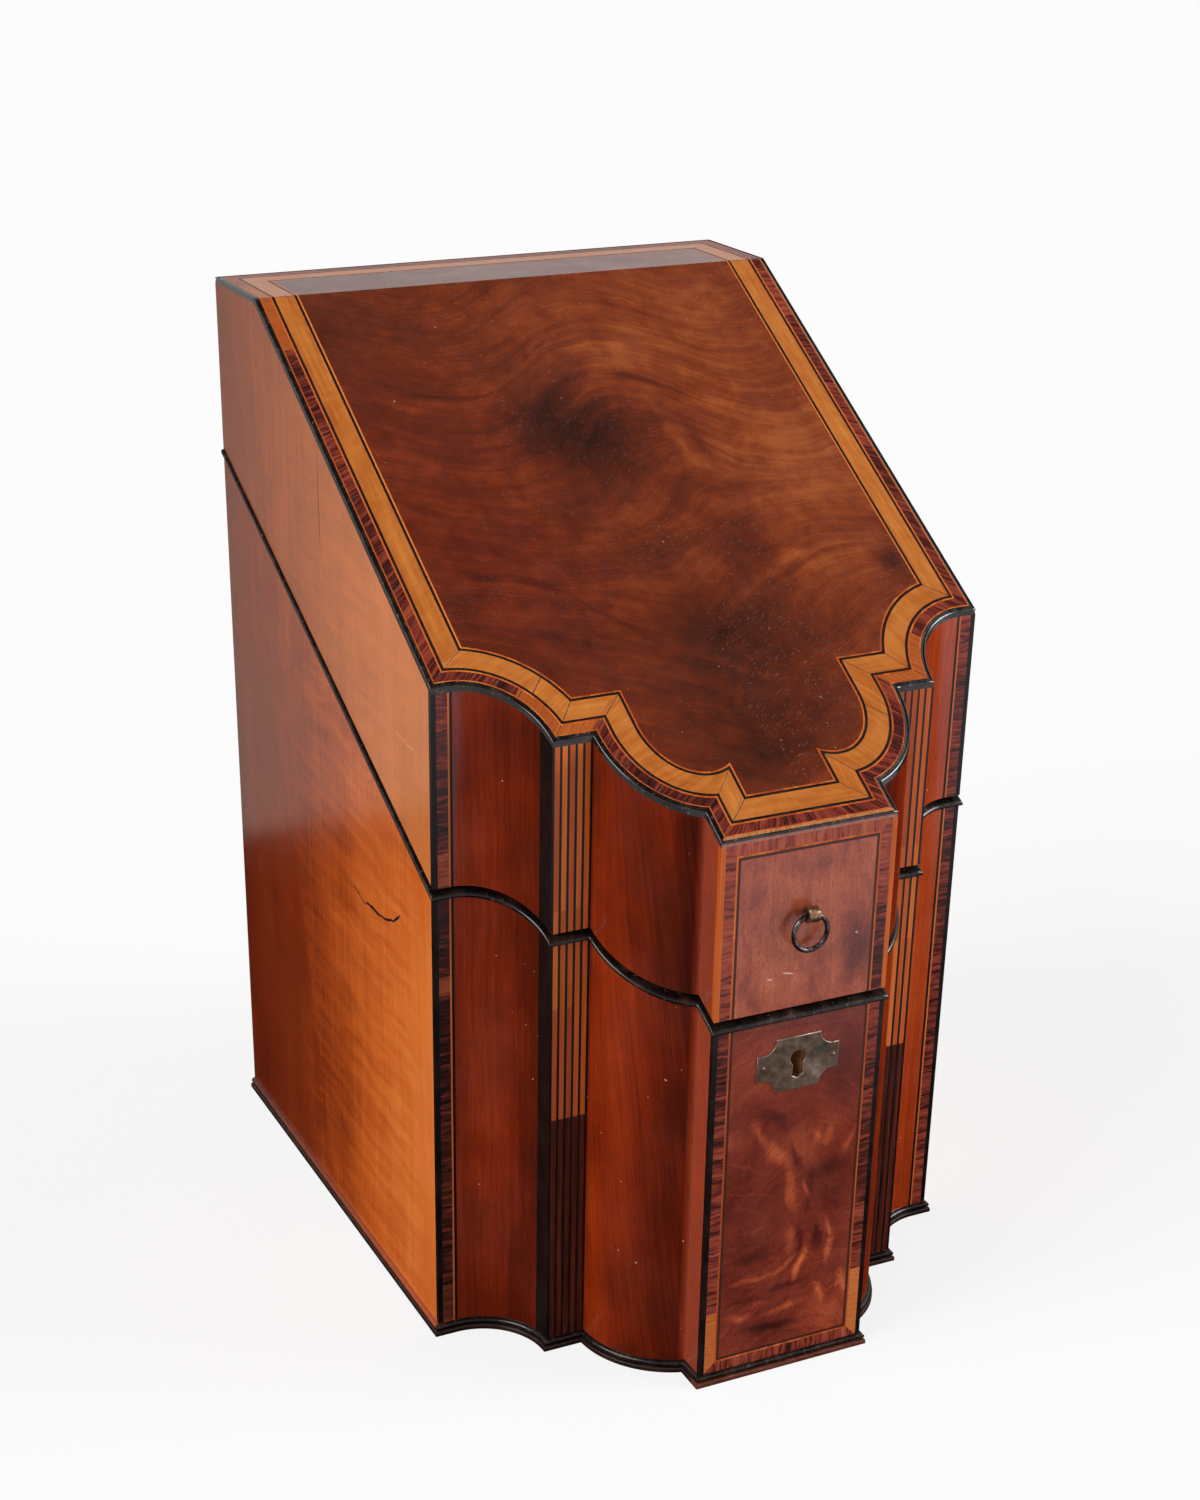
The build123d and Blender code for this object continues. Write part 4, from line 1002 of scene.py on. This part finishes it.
def aged_brass():
    """Escutcheon: dull brown-grey brass, paler in a rubbed patch, with painted highlights on its bevelled
    edges and a trace of green.
    """
    p = Paint("aged_brass")
    x, y, z = p.place()
    face = p.vector(x, z)
    patina = p.noise(x * 0.2, y, z * 0.2, 5, 0.62)
    grain = p.grain(2.2, 2, 2.2, 4, 0.6)
    brushed = p.noise(x * 0.4, y, z * 7)
    rubbed = p.ovals(face, [(9, 129, 16, 10, 0.12)])
    tone = (patina - 0.5) * 0.8 + (grain - 0.5) * 0.4 + (brushed - 0.5) * 0.2 + 0.49 + rubbed
    colour = p.ramp(tone, (0.34, 66, 49, 36), (0.48, 106, 85, 69), (0.6, 132, 112, 96),
                    (0.74, 170, 152, 136))
    painted_edge_highlight, *_ = p.piece_values()
    # Painted highlight: the bevelled edges, marked on the plate, are made paler.
    colour = p.mix(painted_edge_highlight * p.step(grain, 0.3, 0.6), colour, (184, 166, 150))
    verdigris = p.ovals(face, [(9.5, 138, 3.2, 4.6, 1)]) * p.step(grain, 0.4, 0.55)
    colour = p.mix(verdigris, colour, (40, 72, 64))
    ends = p.step(abs(x), 11, 16) * p.step(patina, 0.4, 0.6)
    colour = p.mix(ends * 0.3, colour, (78, 56, 46))
    relief = grain * 0.5 + brushed * 0.3
    return p.surface(colour, p.step(patina, 0.3, 0.7, 0.46, 0.32), relief, 0.08, metallic=0.65)


PALETTE = {make.__name__: make() for make in (
    side_mahogany, plain_mahogany, flame_mahogany, crotch_mahogany, lid_block_mahogany, satinwood, kingwood,
    boxwood, rosewood, ebony, worn_ebony, lid_arris, stained_wood, board_veneer, baize, aged_brass,
)}
PALETTE["carcase_wood"] = carcase_wood("carcase_wood", lying=False)
PALETTE["carcase_boards"] = carcase_wood("carcase_boards", lying=True)
PALETTE |= {name: metal(name, *finish) for name, finish in METALS.items()}
# Finishes that share another one's slot, and nodes whose finish isn't their slot's.
OWN_FINISH = {
    "lid_block_veneer": "lid_block_mahogany", "lid_slope_board": "carcase_boards",
    "lid_top_board": "carcase_boards", "base_bottom": "carcase_boards",
}

for node_name, node in nodes.items():
    wanted = OWN_FINISH.get(node_name, node.data.materials[0].name.split(".")[0])
    for slot in node.material_slots:
        slot.material = PALETTE[wanted]


def dress(made, finish, body, *replaced):
    """Gives a new piece its finish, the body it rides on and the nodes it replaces."""
    made.data.materials.append(PALETTE[finish])
    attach(made, body)
    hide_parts(*replaced)


# --- Inlay of the lid's top ---
band_random = Random(7)
LEGS = list(LEG_STEPS)
SATIN_TONES = {(leg, side): band_random.uniform(0.35, 0.65) for leg in LEGS for side in (1, -1)}
SATIN_TONES["slope", -1] = 0.38
SATIN_CHANCE = {(leg, side): band_random.random() for leg in LEGS for side in (1, -1)}
ACROSS_LEGS = ("cove", "ovolo")
SATIN_JOINTS = [("side", 0.0, 1), ("side", 1.0, -1), ("cove", 0.7, -1), ("ovolo", 0.35, 1)]
SATIN_JOINTS += [(leg, 0.0, side) for leg in LEGS[2:] for side in (1, -1)]


def satin_piece(leg, _, side):
    across = 1.0 if leg in ACROSS_LEGS else 0.0
    return SATIN_TONES[leg, side], across, SATIN_CHANCE[leg, side]


satin_band = sweep(layer(SATIN_OUT, SATIN_IN), SLOPE_COS, pieces=satin_piece, joints=SATIN_JOINTS)
dress(new_mesh("satinwood_band", *satin_band), "satinwood", "lid", "lid_satinwood_band")

# Crossbanding on each leg of the top, and below on the upright faces, in lengths of (end, kind, tone).
# The end is a share of the leg, or a height. Kind 0 is striped kingwood and 1 a plain orange wood,
# where the banding was patched.
CROSSBAND = {
    ("back", 1): [(0.3, 0, 0.5), (0.7, 0, 0.4), (1, 0, 0.6)],
    ("back", -1): [(0.3, 0, 0.6), (0.7, 0, 0.4), (1, 0, 0.5)],
    ("side", 1): [(0.5, 0, 0.55), (1, 0, 0.45)],
    ("side", -1): [(0.5, 0.2, 0.7), (1, 0.6, 0.6)],
    ("slope", 1): [(0.18, 0, 0.55), (0.37, 0, 0.4), (0.58, 0, 0.55), (0.8, 0, 0.35), (1, 0, 0.5)],
    ("slope", -1): [(0.16, 1, 0.4), (0.36, 0, 0.4), (0.55, 0, 0.52), (0.79, 0, 0.38), (1, 0, 0.5)],
    ("cove", 1): [(0.3, 0, 0.5), (0.62, 0, 0.4), (1, 1, 0.45)],
    ("cove", -1): [(0.45, 0, 0.42), (0.62, 0, 0.35), (1, 1, 0.35)],
    ("pilaster", 1): [(1, 1, 0.5)],
    ("pilaster", -1): [(1, 1, 0.55)],
    ("ovolo", 1): [(0.3, 0, 0.5), (0.55, 0, 0.3), (1, 0, 0.42)],
    ("ovolo", -1): [(0.35, 0, 0.45), (0.62, 0, 0.35), (1, 0, 0.3)],
    ("return", 1): [(1, 0, 0.5)],
    ("return", -1): [(1, 0, 0.4)],
    ("front", 1): [(0.3, 0, 0.45), (1, 0, 0.5)],
    ("front", -1): [(0.4, 0, 0.55), (1, 0, 0.45)],
}


def crossband_piece(leg, share, side):
    """Values of the piece at a place; its chance is a fixed scatter and not a draw."""
    for number, (end, kind, tone) in enumerate(CROSSBAND[leg, side]):
        if share < end - 1e-6:
            break
    return tone, kind, (LEGS.index(leg) * 7 + number * 3 + side) * 0.37 % 1.0


crossband_joints = [(leg, 0.0, side) for leg, side in CROSSBAND]
for (leg, side), lengths in CROSSBAND.items():
    crossband_joints += [(leg, end, side) for end, _, _ in lengths[:-1]]


def uprights(strips, outer, front, low, right, left, leans=(0, 0), mitres=(0, 0)):
    """Upright banding on both sides, each from (top, kind, tone) lengths.

    leans is the rise of its lower and upper ends towards the back, and mitres how far they are cut.
    """
    inner = outer - BAND
    for side, lengths in ((1, right), (-1, left)):
        start, lean, mitre = low, leans[0], mitres[0]
        for high, kind, tone in lengths:
            top_lean, top_mitre = (leans[1], mitres[1]) if high == lengths[-1][0] else (0, 0)
            corners = [(inner, start + mitre), (outer, start), (outer, high), (inner, high - top_mitre)]
            corners = [(side * x, z) for x, z in corners]
            strips.piece(corners, front, False, kind, tone, (lean, lean, top_lean, top_lean))
            start, lean, mitre = high, top_lean, 0


def border_end(strips, half, outer_z, inner_z, kind, lengths):
    """Level side of the block's border, from (start, end, tone) lengths as shares of its half width."""
    for start, end, tone in lengths:
        outer = [(share * half, outer_z) for share in (start, end)]
        inner = [(share * (half - BAND if abs(share) == 1 else half), inner_z) for share in (start, end)]
        low, high = (outer, inner) if outer_z < inner_z else (inner, outer)
        strips.piece(low + high[::-1], Y_BLOCK, True, kind, tone)


corner_outer, border_outer = HALF_WIDTH - STRING, BLOCK_HALF - STRING
top_band = layer(CROSSBAND_OUT, CROSSBAND_IN)
lid_strips = Strips(3, sweep(top_band, SLOPE_COS, pieces=crossband_piece, joints=crossband_joints))
corner_top = roof(Y_CORNER, STRING)
uprights(
    lid_strips, corner_outer, Y_CORNER, lid_line(Y_CORNER),
    [(222, 0, 0.45), (247, 0, 0.4), (corner_top, 0, 0.5)],
    [(208, 0.35, 0.75), (236, 0, 0.35), (corner_top, 0, 0.42)],
    leans=(RIM_SLOPE, SLOPE),
)
block_top = roof(Y_BLOCK, 0.0) - STRING
uprights(
    lid_strips, border_outer, Y_BLOCK, lid_line(Y_BLOCK),
    [(176, 0, 0.3), (192, 0, 0.36), (205, 0, 0.62), (block_top, 0, 0.66)],
    [(178, 0, 0.62), (198, 0, 0.7), (213, 0, 0.58), (block_top, 0, 0.66)],
    mitres=(0, BAND),
)
top_lengths = [(-1, -0.35, 0.72), (-0.35, 0.3, 0.8), (0.3, 1, 0.74)]
border_end(lid_strips, border_outer, block_top, block_top - BAND, 0, top_lengths)
dress(lid_strips.finish("lid_banding"), "kingwood", "lid", "lid_crossbanding")

base_strips = Strips(5)
corner_rim, block_rim = rim_line(Y_CORNER), rim_line(Y_BLOCK)
uprights(
    base_strips, corner_outer, Y_CORNER, 0,
    [(34, 0, 0.62), (82, 0, 0.56), (128, 0, 0.5), (corner_rim, 0, 0.4)],
    [(22, 0.42, 0.3), (60, 0, 0.3), (104, 0.35, 0.3), (150, 0, 0.2), (158, 0.45, 0.6),
     (corner_rim, 0, 0.26)],
    leans=(0, RIM_SLOPE),
)
block_foot = FILLET_H + PLINTH_BEAD
uprights(
    base_strips, border_outer, Y_BLOCK, block_foot,
    [(36, 1, 0.8), (66, 0, 0.5), (104, 0, 0.36), (132, 0, 0.4), (block_rim, 0, 0.5)],
    [(32, 0.8, 0.6), (64, 0, 0.6), (106, 0, 0.52), (130, 0, 0.42), (block_rim, 0, 0.38)],
    mitres=(BAND, 0),
)
foot_lengths = [(-1, -0.2, 0.6), (-0.2, 0.5, 0.55), (0.5, 1, 0.7)]
border_end(base_strips, border_outer, block_foot, block_foot + BAND, 0.3, foot_lengths)
dress(base_strips.finish("base_banding"), "kingwood", "base", "base_crossbanding")


# --- Strings and mouldings ---
def rounded(count, radius):
    """Quarter turn from (0, radius) to (radius, 0), as distances from the corner of a square edge."""
    turns = [pi / 2 * k / count for k in range(count + 1)]
    return [(radius * (1 - sin(t)), radius * (1 - cos(t))) for t in turns]


arris_section = [(STRING, at_depth(0.0), 0.0)]
for inset, depth in rounded(ARRIS_STEPS, ARRIS_ROUND):
    arris_section.append((depth, at_depth(inset), STRING + inset - depth))
arris_section.append((0.0, at_depth(STRING), 2 * STRING))
arris_section.append((STRING, at_depth(STRING), 3 * STRING))
arris = new_mesh("arris_string", *sweep(arris_section, SLOPE_COS))
dress(arris, "lid_arris", "lid", "lid_arris_string")


BEAD_STEPS = 8
SMOOTH_BELOW = 50         # degrees between faces that are shaded as one


def bead_section(inner, projection, low, high):
    """Half-round moulding standing out from the case."""
    section = [(inner, low, 0.0)]
    for k in range(BEAD_STEPS + 1):
        turn = pi * k / BEAD_STEPS
        section.append((-projection * sin(turn), between(low, high, (1 - cos(turn)) / 2), inner + k * 0.4))
    section.append((inner, high, inner * 2 + 3.2))
    return section


rim_section = bead_section(BEAD_IN, BEAD_OUT, rim_line, bead_line)
rim = new_mesh("rim_moulding", *sweep(rim_section, rear=0.0))
dress(rim, "worn_ebony", "base", "rim_bead")
fillet_top = at_height(FILLET_H)
plinth_top = at_height(FILLET_H + PLINTH_BEAD)
plinth_section = bead_section(PLINTH_BEAD_IN, PLINTH_BEAD_OUT, fillet_top, plinth_top)
plinth = new_mesh("plinth_moulding", *sweep(plinth_section, rear=0.0))
dress(plinth, "worn_ebony", "base", "plinth_bead")
fillet_section = [
    (0.0, at_height(0.0), 0.0),
    (-FILLET_OUT, at_height(0.0), 2.0),
    (-FILLET_OUT, at_height(FILLET_H - FILLET_ROUND), 3.5),
    (-FILLET_OUT + FILLET_ROUND * 0.3, at_height(FILLET_H - FILLET_ROUND * 0.3), 3.8),
    (-FILLET_OUT + FILLET_ROUND, fillet_top, 4.1),
    (0.0, fillet_top, 5.6),
]
fillet = new_mesh("foot_fillet", *sweep(fillet_section, rear=0.0))
dress(fillet, "stained_wood", "base", "plinth_fillet")
for rounded_piece in (rim, plinth, arris):
    for face in rounded_piece.data.polygons:
        face.use_smooth = True
    rounded_piece.modifiers.new("edges", "EDGE_SPLIT").split_angle = radians(SMOOTH_BELOW)


# --- Escutcheon ---
PLATE_CUT = 5.6           # radius of the scooped corners
PLATE_TAB = 2.4
PLATE_BEVEL = 0.28
PLATE_STEPS = 12
KEY_UP = 1.8              # keyhole's head above the plate's middle
KEY_HEAD_R = 3.2
KEY_STEPS = 28
KEY_SLOT_HALF = 2.1
KEY_FOOT_HALF = 2.4
KEY_BELOW = 8.4


def plate_outline(half_w, half_h):
    """Plate with a scooped corner and a short tab at each end, as (x, z) points from its middle."""
    quarter = [(half_w, 0.0), (half_w, half_h - PLATE_CUT)]
    for k in range(PLATE_STEPS + 1):
        turn = pi / 2 * k / PLATE_STEPS
        quarter.append((half_w - PLATE_TAB - PLATE_CUT * sin(turn), half_h - PLATE_CUT * cos(turn)))
    left = [(-x, z) for x, z in reversed(quarter)]
    upper = quarter + left
    return upper + [(x, -z) for x, z in reversed(upper[1:-1])]


def keyhole_outline():
    """Round head over a slot that widens to a rough foot."""
    start = atan2(-sqrt(KEY_HEAD_R ** 2 - KEY_SLOT_HALF ** 2), KEY_SLOT_HALF)
    turns = [start + (2 * pi - 2 * (start + pi / 2)) * k / KEY_STEPS for k in range(KEY_STEPS + 1)]
    head = [(KEY_HEAD_R * cos(t), KEY_HEAD_R * sin(t)) for t in turns]
    foot = [(-KEY_SLOT_HALF, -4.8), (-KEY_FOOT_HALF, -7.1), (-1.3, -7.6), (0.1, -KEY_BELOW), (1.4, -7.5),
            (KEY_FOOT_HALF, -6.9), (KEY_SLOT_HALF, -4.6)]
    return [(x, z + KEY_UP) for x, z in head + foot]


def bevelled_plate(name, outlines, front, thickness, bevel, centre_z):
    """Flat plate facing forward, cut from outlines, with its front and back edges bevelled."""
    curve = bpy.data.curves.new(name, "CURVE")
    curve.dimensions = "2D"
    curve.fill_mode = "BOTH"
    curve.extrude = (thickness / 2 - bevel) * MM
    curve.bevel_depth = bevel * MM
    curve.bevel_resolution = 1
    curve.offset = -bevel * MM
    for outline in outlines:
        spline = curve.splines.new("POLY")
        spline.points.add(len(outline) - 1)
        for point, (x, z) in zip(spline.points, outline):
            point.co = (x * MM, z * MM, 0.0, 1.0)
        spline.use_cyclic_u = True
    drawn = link_new(name, curve)
    bpy.context.view_layer.update()
    mesh = bpy.data.meshes.new_from_object(drawn.evaluated_get(bpy.context.evaluated_depsgraph_get()))
    bpy.data.objects.remove(drawn)
    for vertex in mesh.vertices:
        x, z, depth = vertex.co
        vertex.co = (x, (front + thickness / 2) * MM - depth, centre_z * MM + z)
    # The bevel faces are marked in the piece attribute for the painted highlight of the brass.
    edge = mesh.color_attributes.new("piece", "FLOAT_COLOR", "CORNER")
    for face in mesh.polygons:
        level = 0.0 if abs(face.normal.y) > 0.97 else 0.6
        for i in face.loop_indices:
            edge.data[i].color = (level, 0.0, 0.0, 1.0)
    return link_new(name, mesh)


plate_low, plate_high = [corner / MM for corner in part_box("escutcheon")]
plate = bevelled_plate(
    "escutcheon_plate",
    [plate_outline((plate_high.x - plate_low.x) / 2, (plate_high.z - plate_low.z) / 2), keyhole_outline()],
    plate_low.y, plate_high.y - plate_low.y, PLATE_BEVEL, (plate_low.z + plate_high.z) / 2,
)
plate.data.materials.clear()
dress(plate, "aged_brass", "base", "escutcheon")

# --- Floor and light ---
FLOOR_SIZE = 40.0
FLOOR_COLOUR = (246, 246, 245)
FLOOR_WHITE = 0.8         # share of plain white in the floor as the camera sees it
MIRRORED_DARK = 0.006     # the floor's level in polished surfaces, near the box and in front
MIRRORED_REAR = 0.38      # beyond REAR_EDGE, towards the left
MIRRORED_RIGHT = 0.95     # towards the front right
RIGHT_FRONT = (-0.26, -0.52)
REAR_COLOUR = (255, 242, 226)
RIGHT_COLOUR = (238, 240, 255)
REAR_EDGE = (0.425, 0.455)
REAR_LEFT = (0.25, 0.05)
RIGHT_EDGE = (0.12, 0.36)
RIGHT_TURN = radians(20)
CEILING_EDGE = (0.55, 0.85)         # from the top of the mirrored wall to the ceiling


def floor_material():
    """Pale floor. Seen directly it is mostly plain white, and it keeps the shadow. In polished surfaces it
    glows as painted reflections: nearly dark near the box and in front, pale beyond the rear edge and
    bright to the front right.
    """
    p = Paint("floor")
    x, y, _ = p.split(p.wire("ShaderNodeTexCoord", output="Object"))
    rear = p.step(y, *REAR_EDGE, MIRRORED_DARK, MIRRORED_REAR) * p.step(x, *REAR_LEFT)
    right = p.step(x * cos(RIGHT_TURN) - y * sin(RIGHT_TURN), *RIGHT_EDGE, MIRRORED_DARK, MIRRORED_RIGHT)
    right = right * p.step(y, *RIGHT_FRONT)
    # Painted reflections: the floor glows only for mirrored rays, in zones that it sets itself.
    glows = [p.wire("ShaderNodeEmission", {"Color": colour, "Strength": level})
             for colour, level in ((REAR_COLOUR, rear), (RIGHT_COLOUR, right))]
    reflection = p.wire("ShaderNodeAddShader", enumerate(glows))
    seen, mirrored = p.rays()
    plain = p.wire("ShaderNodeBsdfDiffuse", {"Color": FLOOR_COLOUR})
    white = p.wire("ShaderNodeEmission")
    direct = p.wire("ShaderNodeMixShader", {0: seen * FLOOR_WHITE, 1: plain, 2: white})
    return p.end(p.wire("ShaderNodeMixShader", {0: mirrored, 1: direct, 2: reflection}))


floor_mesh = bpy.data.meshes.new("floor")
half = FLOOR_SIZE / 2
floor_corners = [(-half, -half, 0), (half, -half, 0), (half, half, 0), (-half, half, 0)]
floor_mesh.from_pydata(floor_corners, [], [(0, 1, 2, 3)])
floor_mesh.materials.append(floor_material())
link_new("floor", floor_mesh)


def world_light(fill, wall, ceiling):
    """Grey fill for the surfaces; polished ones mirror a pale wall under a dim ceiling."""
    p = Paint("studio", world=True)
    *_, height = p.split(p.wire("ShaderNodeTexCoord", output="Generated"))
    seen, mirrored = p.rays()
    strength = p.mix_numbers(mirrored, fill, p.step(height, *CEILING_EDGE, wall, ceiling))
    strength = p.mix_numbers(seen, strength, 1.0)
    light = p.wire("ShaderNodeBackground", {"Color": (255, 255, 255), "Strength": strength})
    bpy.context.scene.world = p.end(light, "ShaderNodeOutputWorld")


def soft_sun(name, toward, level, angle):
    """Even light from one side; level 1 shows a colour that faces it as written."""
    data = bpy.data.lights.new(name, "SUN")
    data.energy = level * pi
    data.angle = radians(angle)
    link_new(name, data).rotation_euler = Vector(toward).to_track_quat("Z", "Y").to_euler()


world_light(fill=0.24, wall=0.56, ceiling=0.06)
soft_sun("window", (-0.58, -0.06, 0.42), level=0.7, angle=40)
soft_sun("second_window", (0.9, -0.42, 0.38), level=0.8, angle=30)
bpy.context.scene.view_settings.view_transform = "Standard"
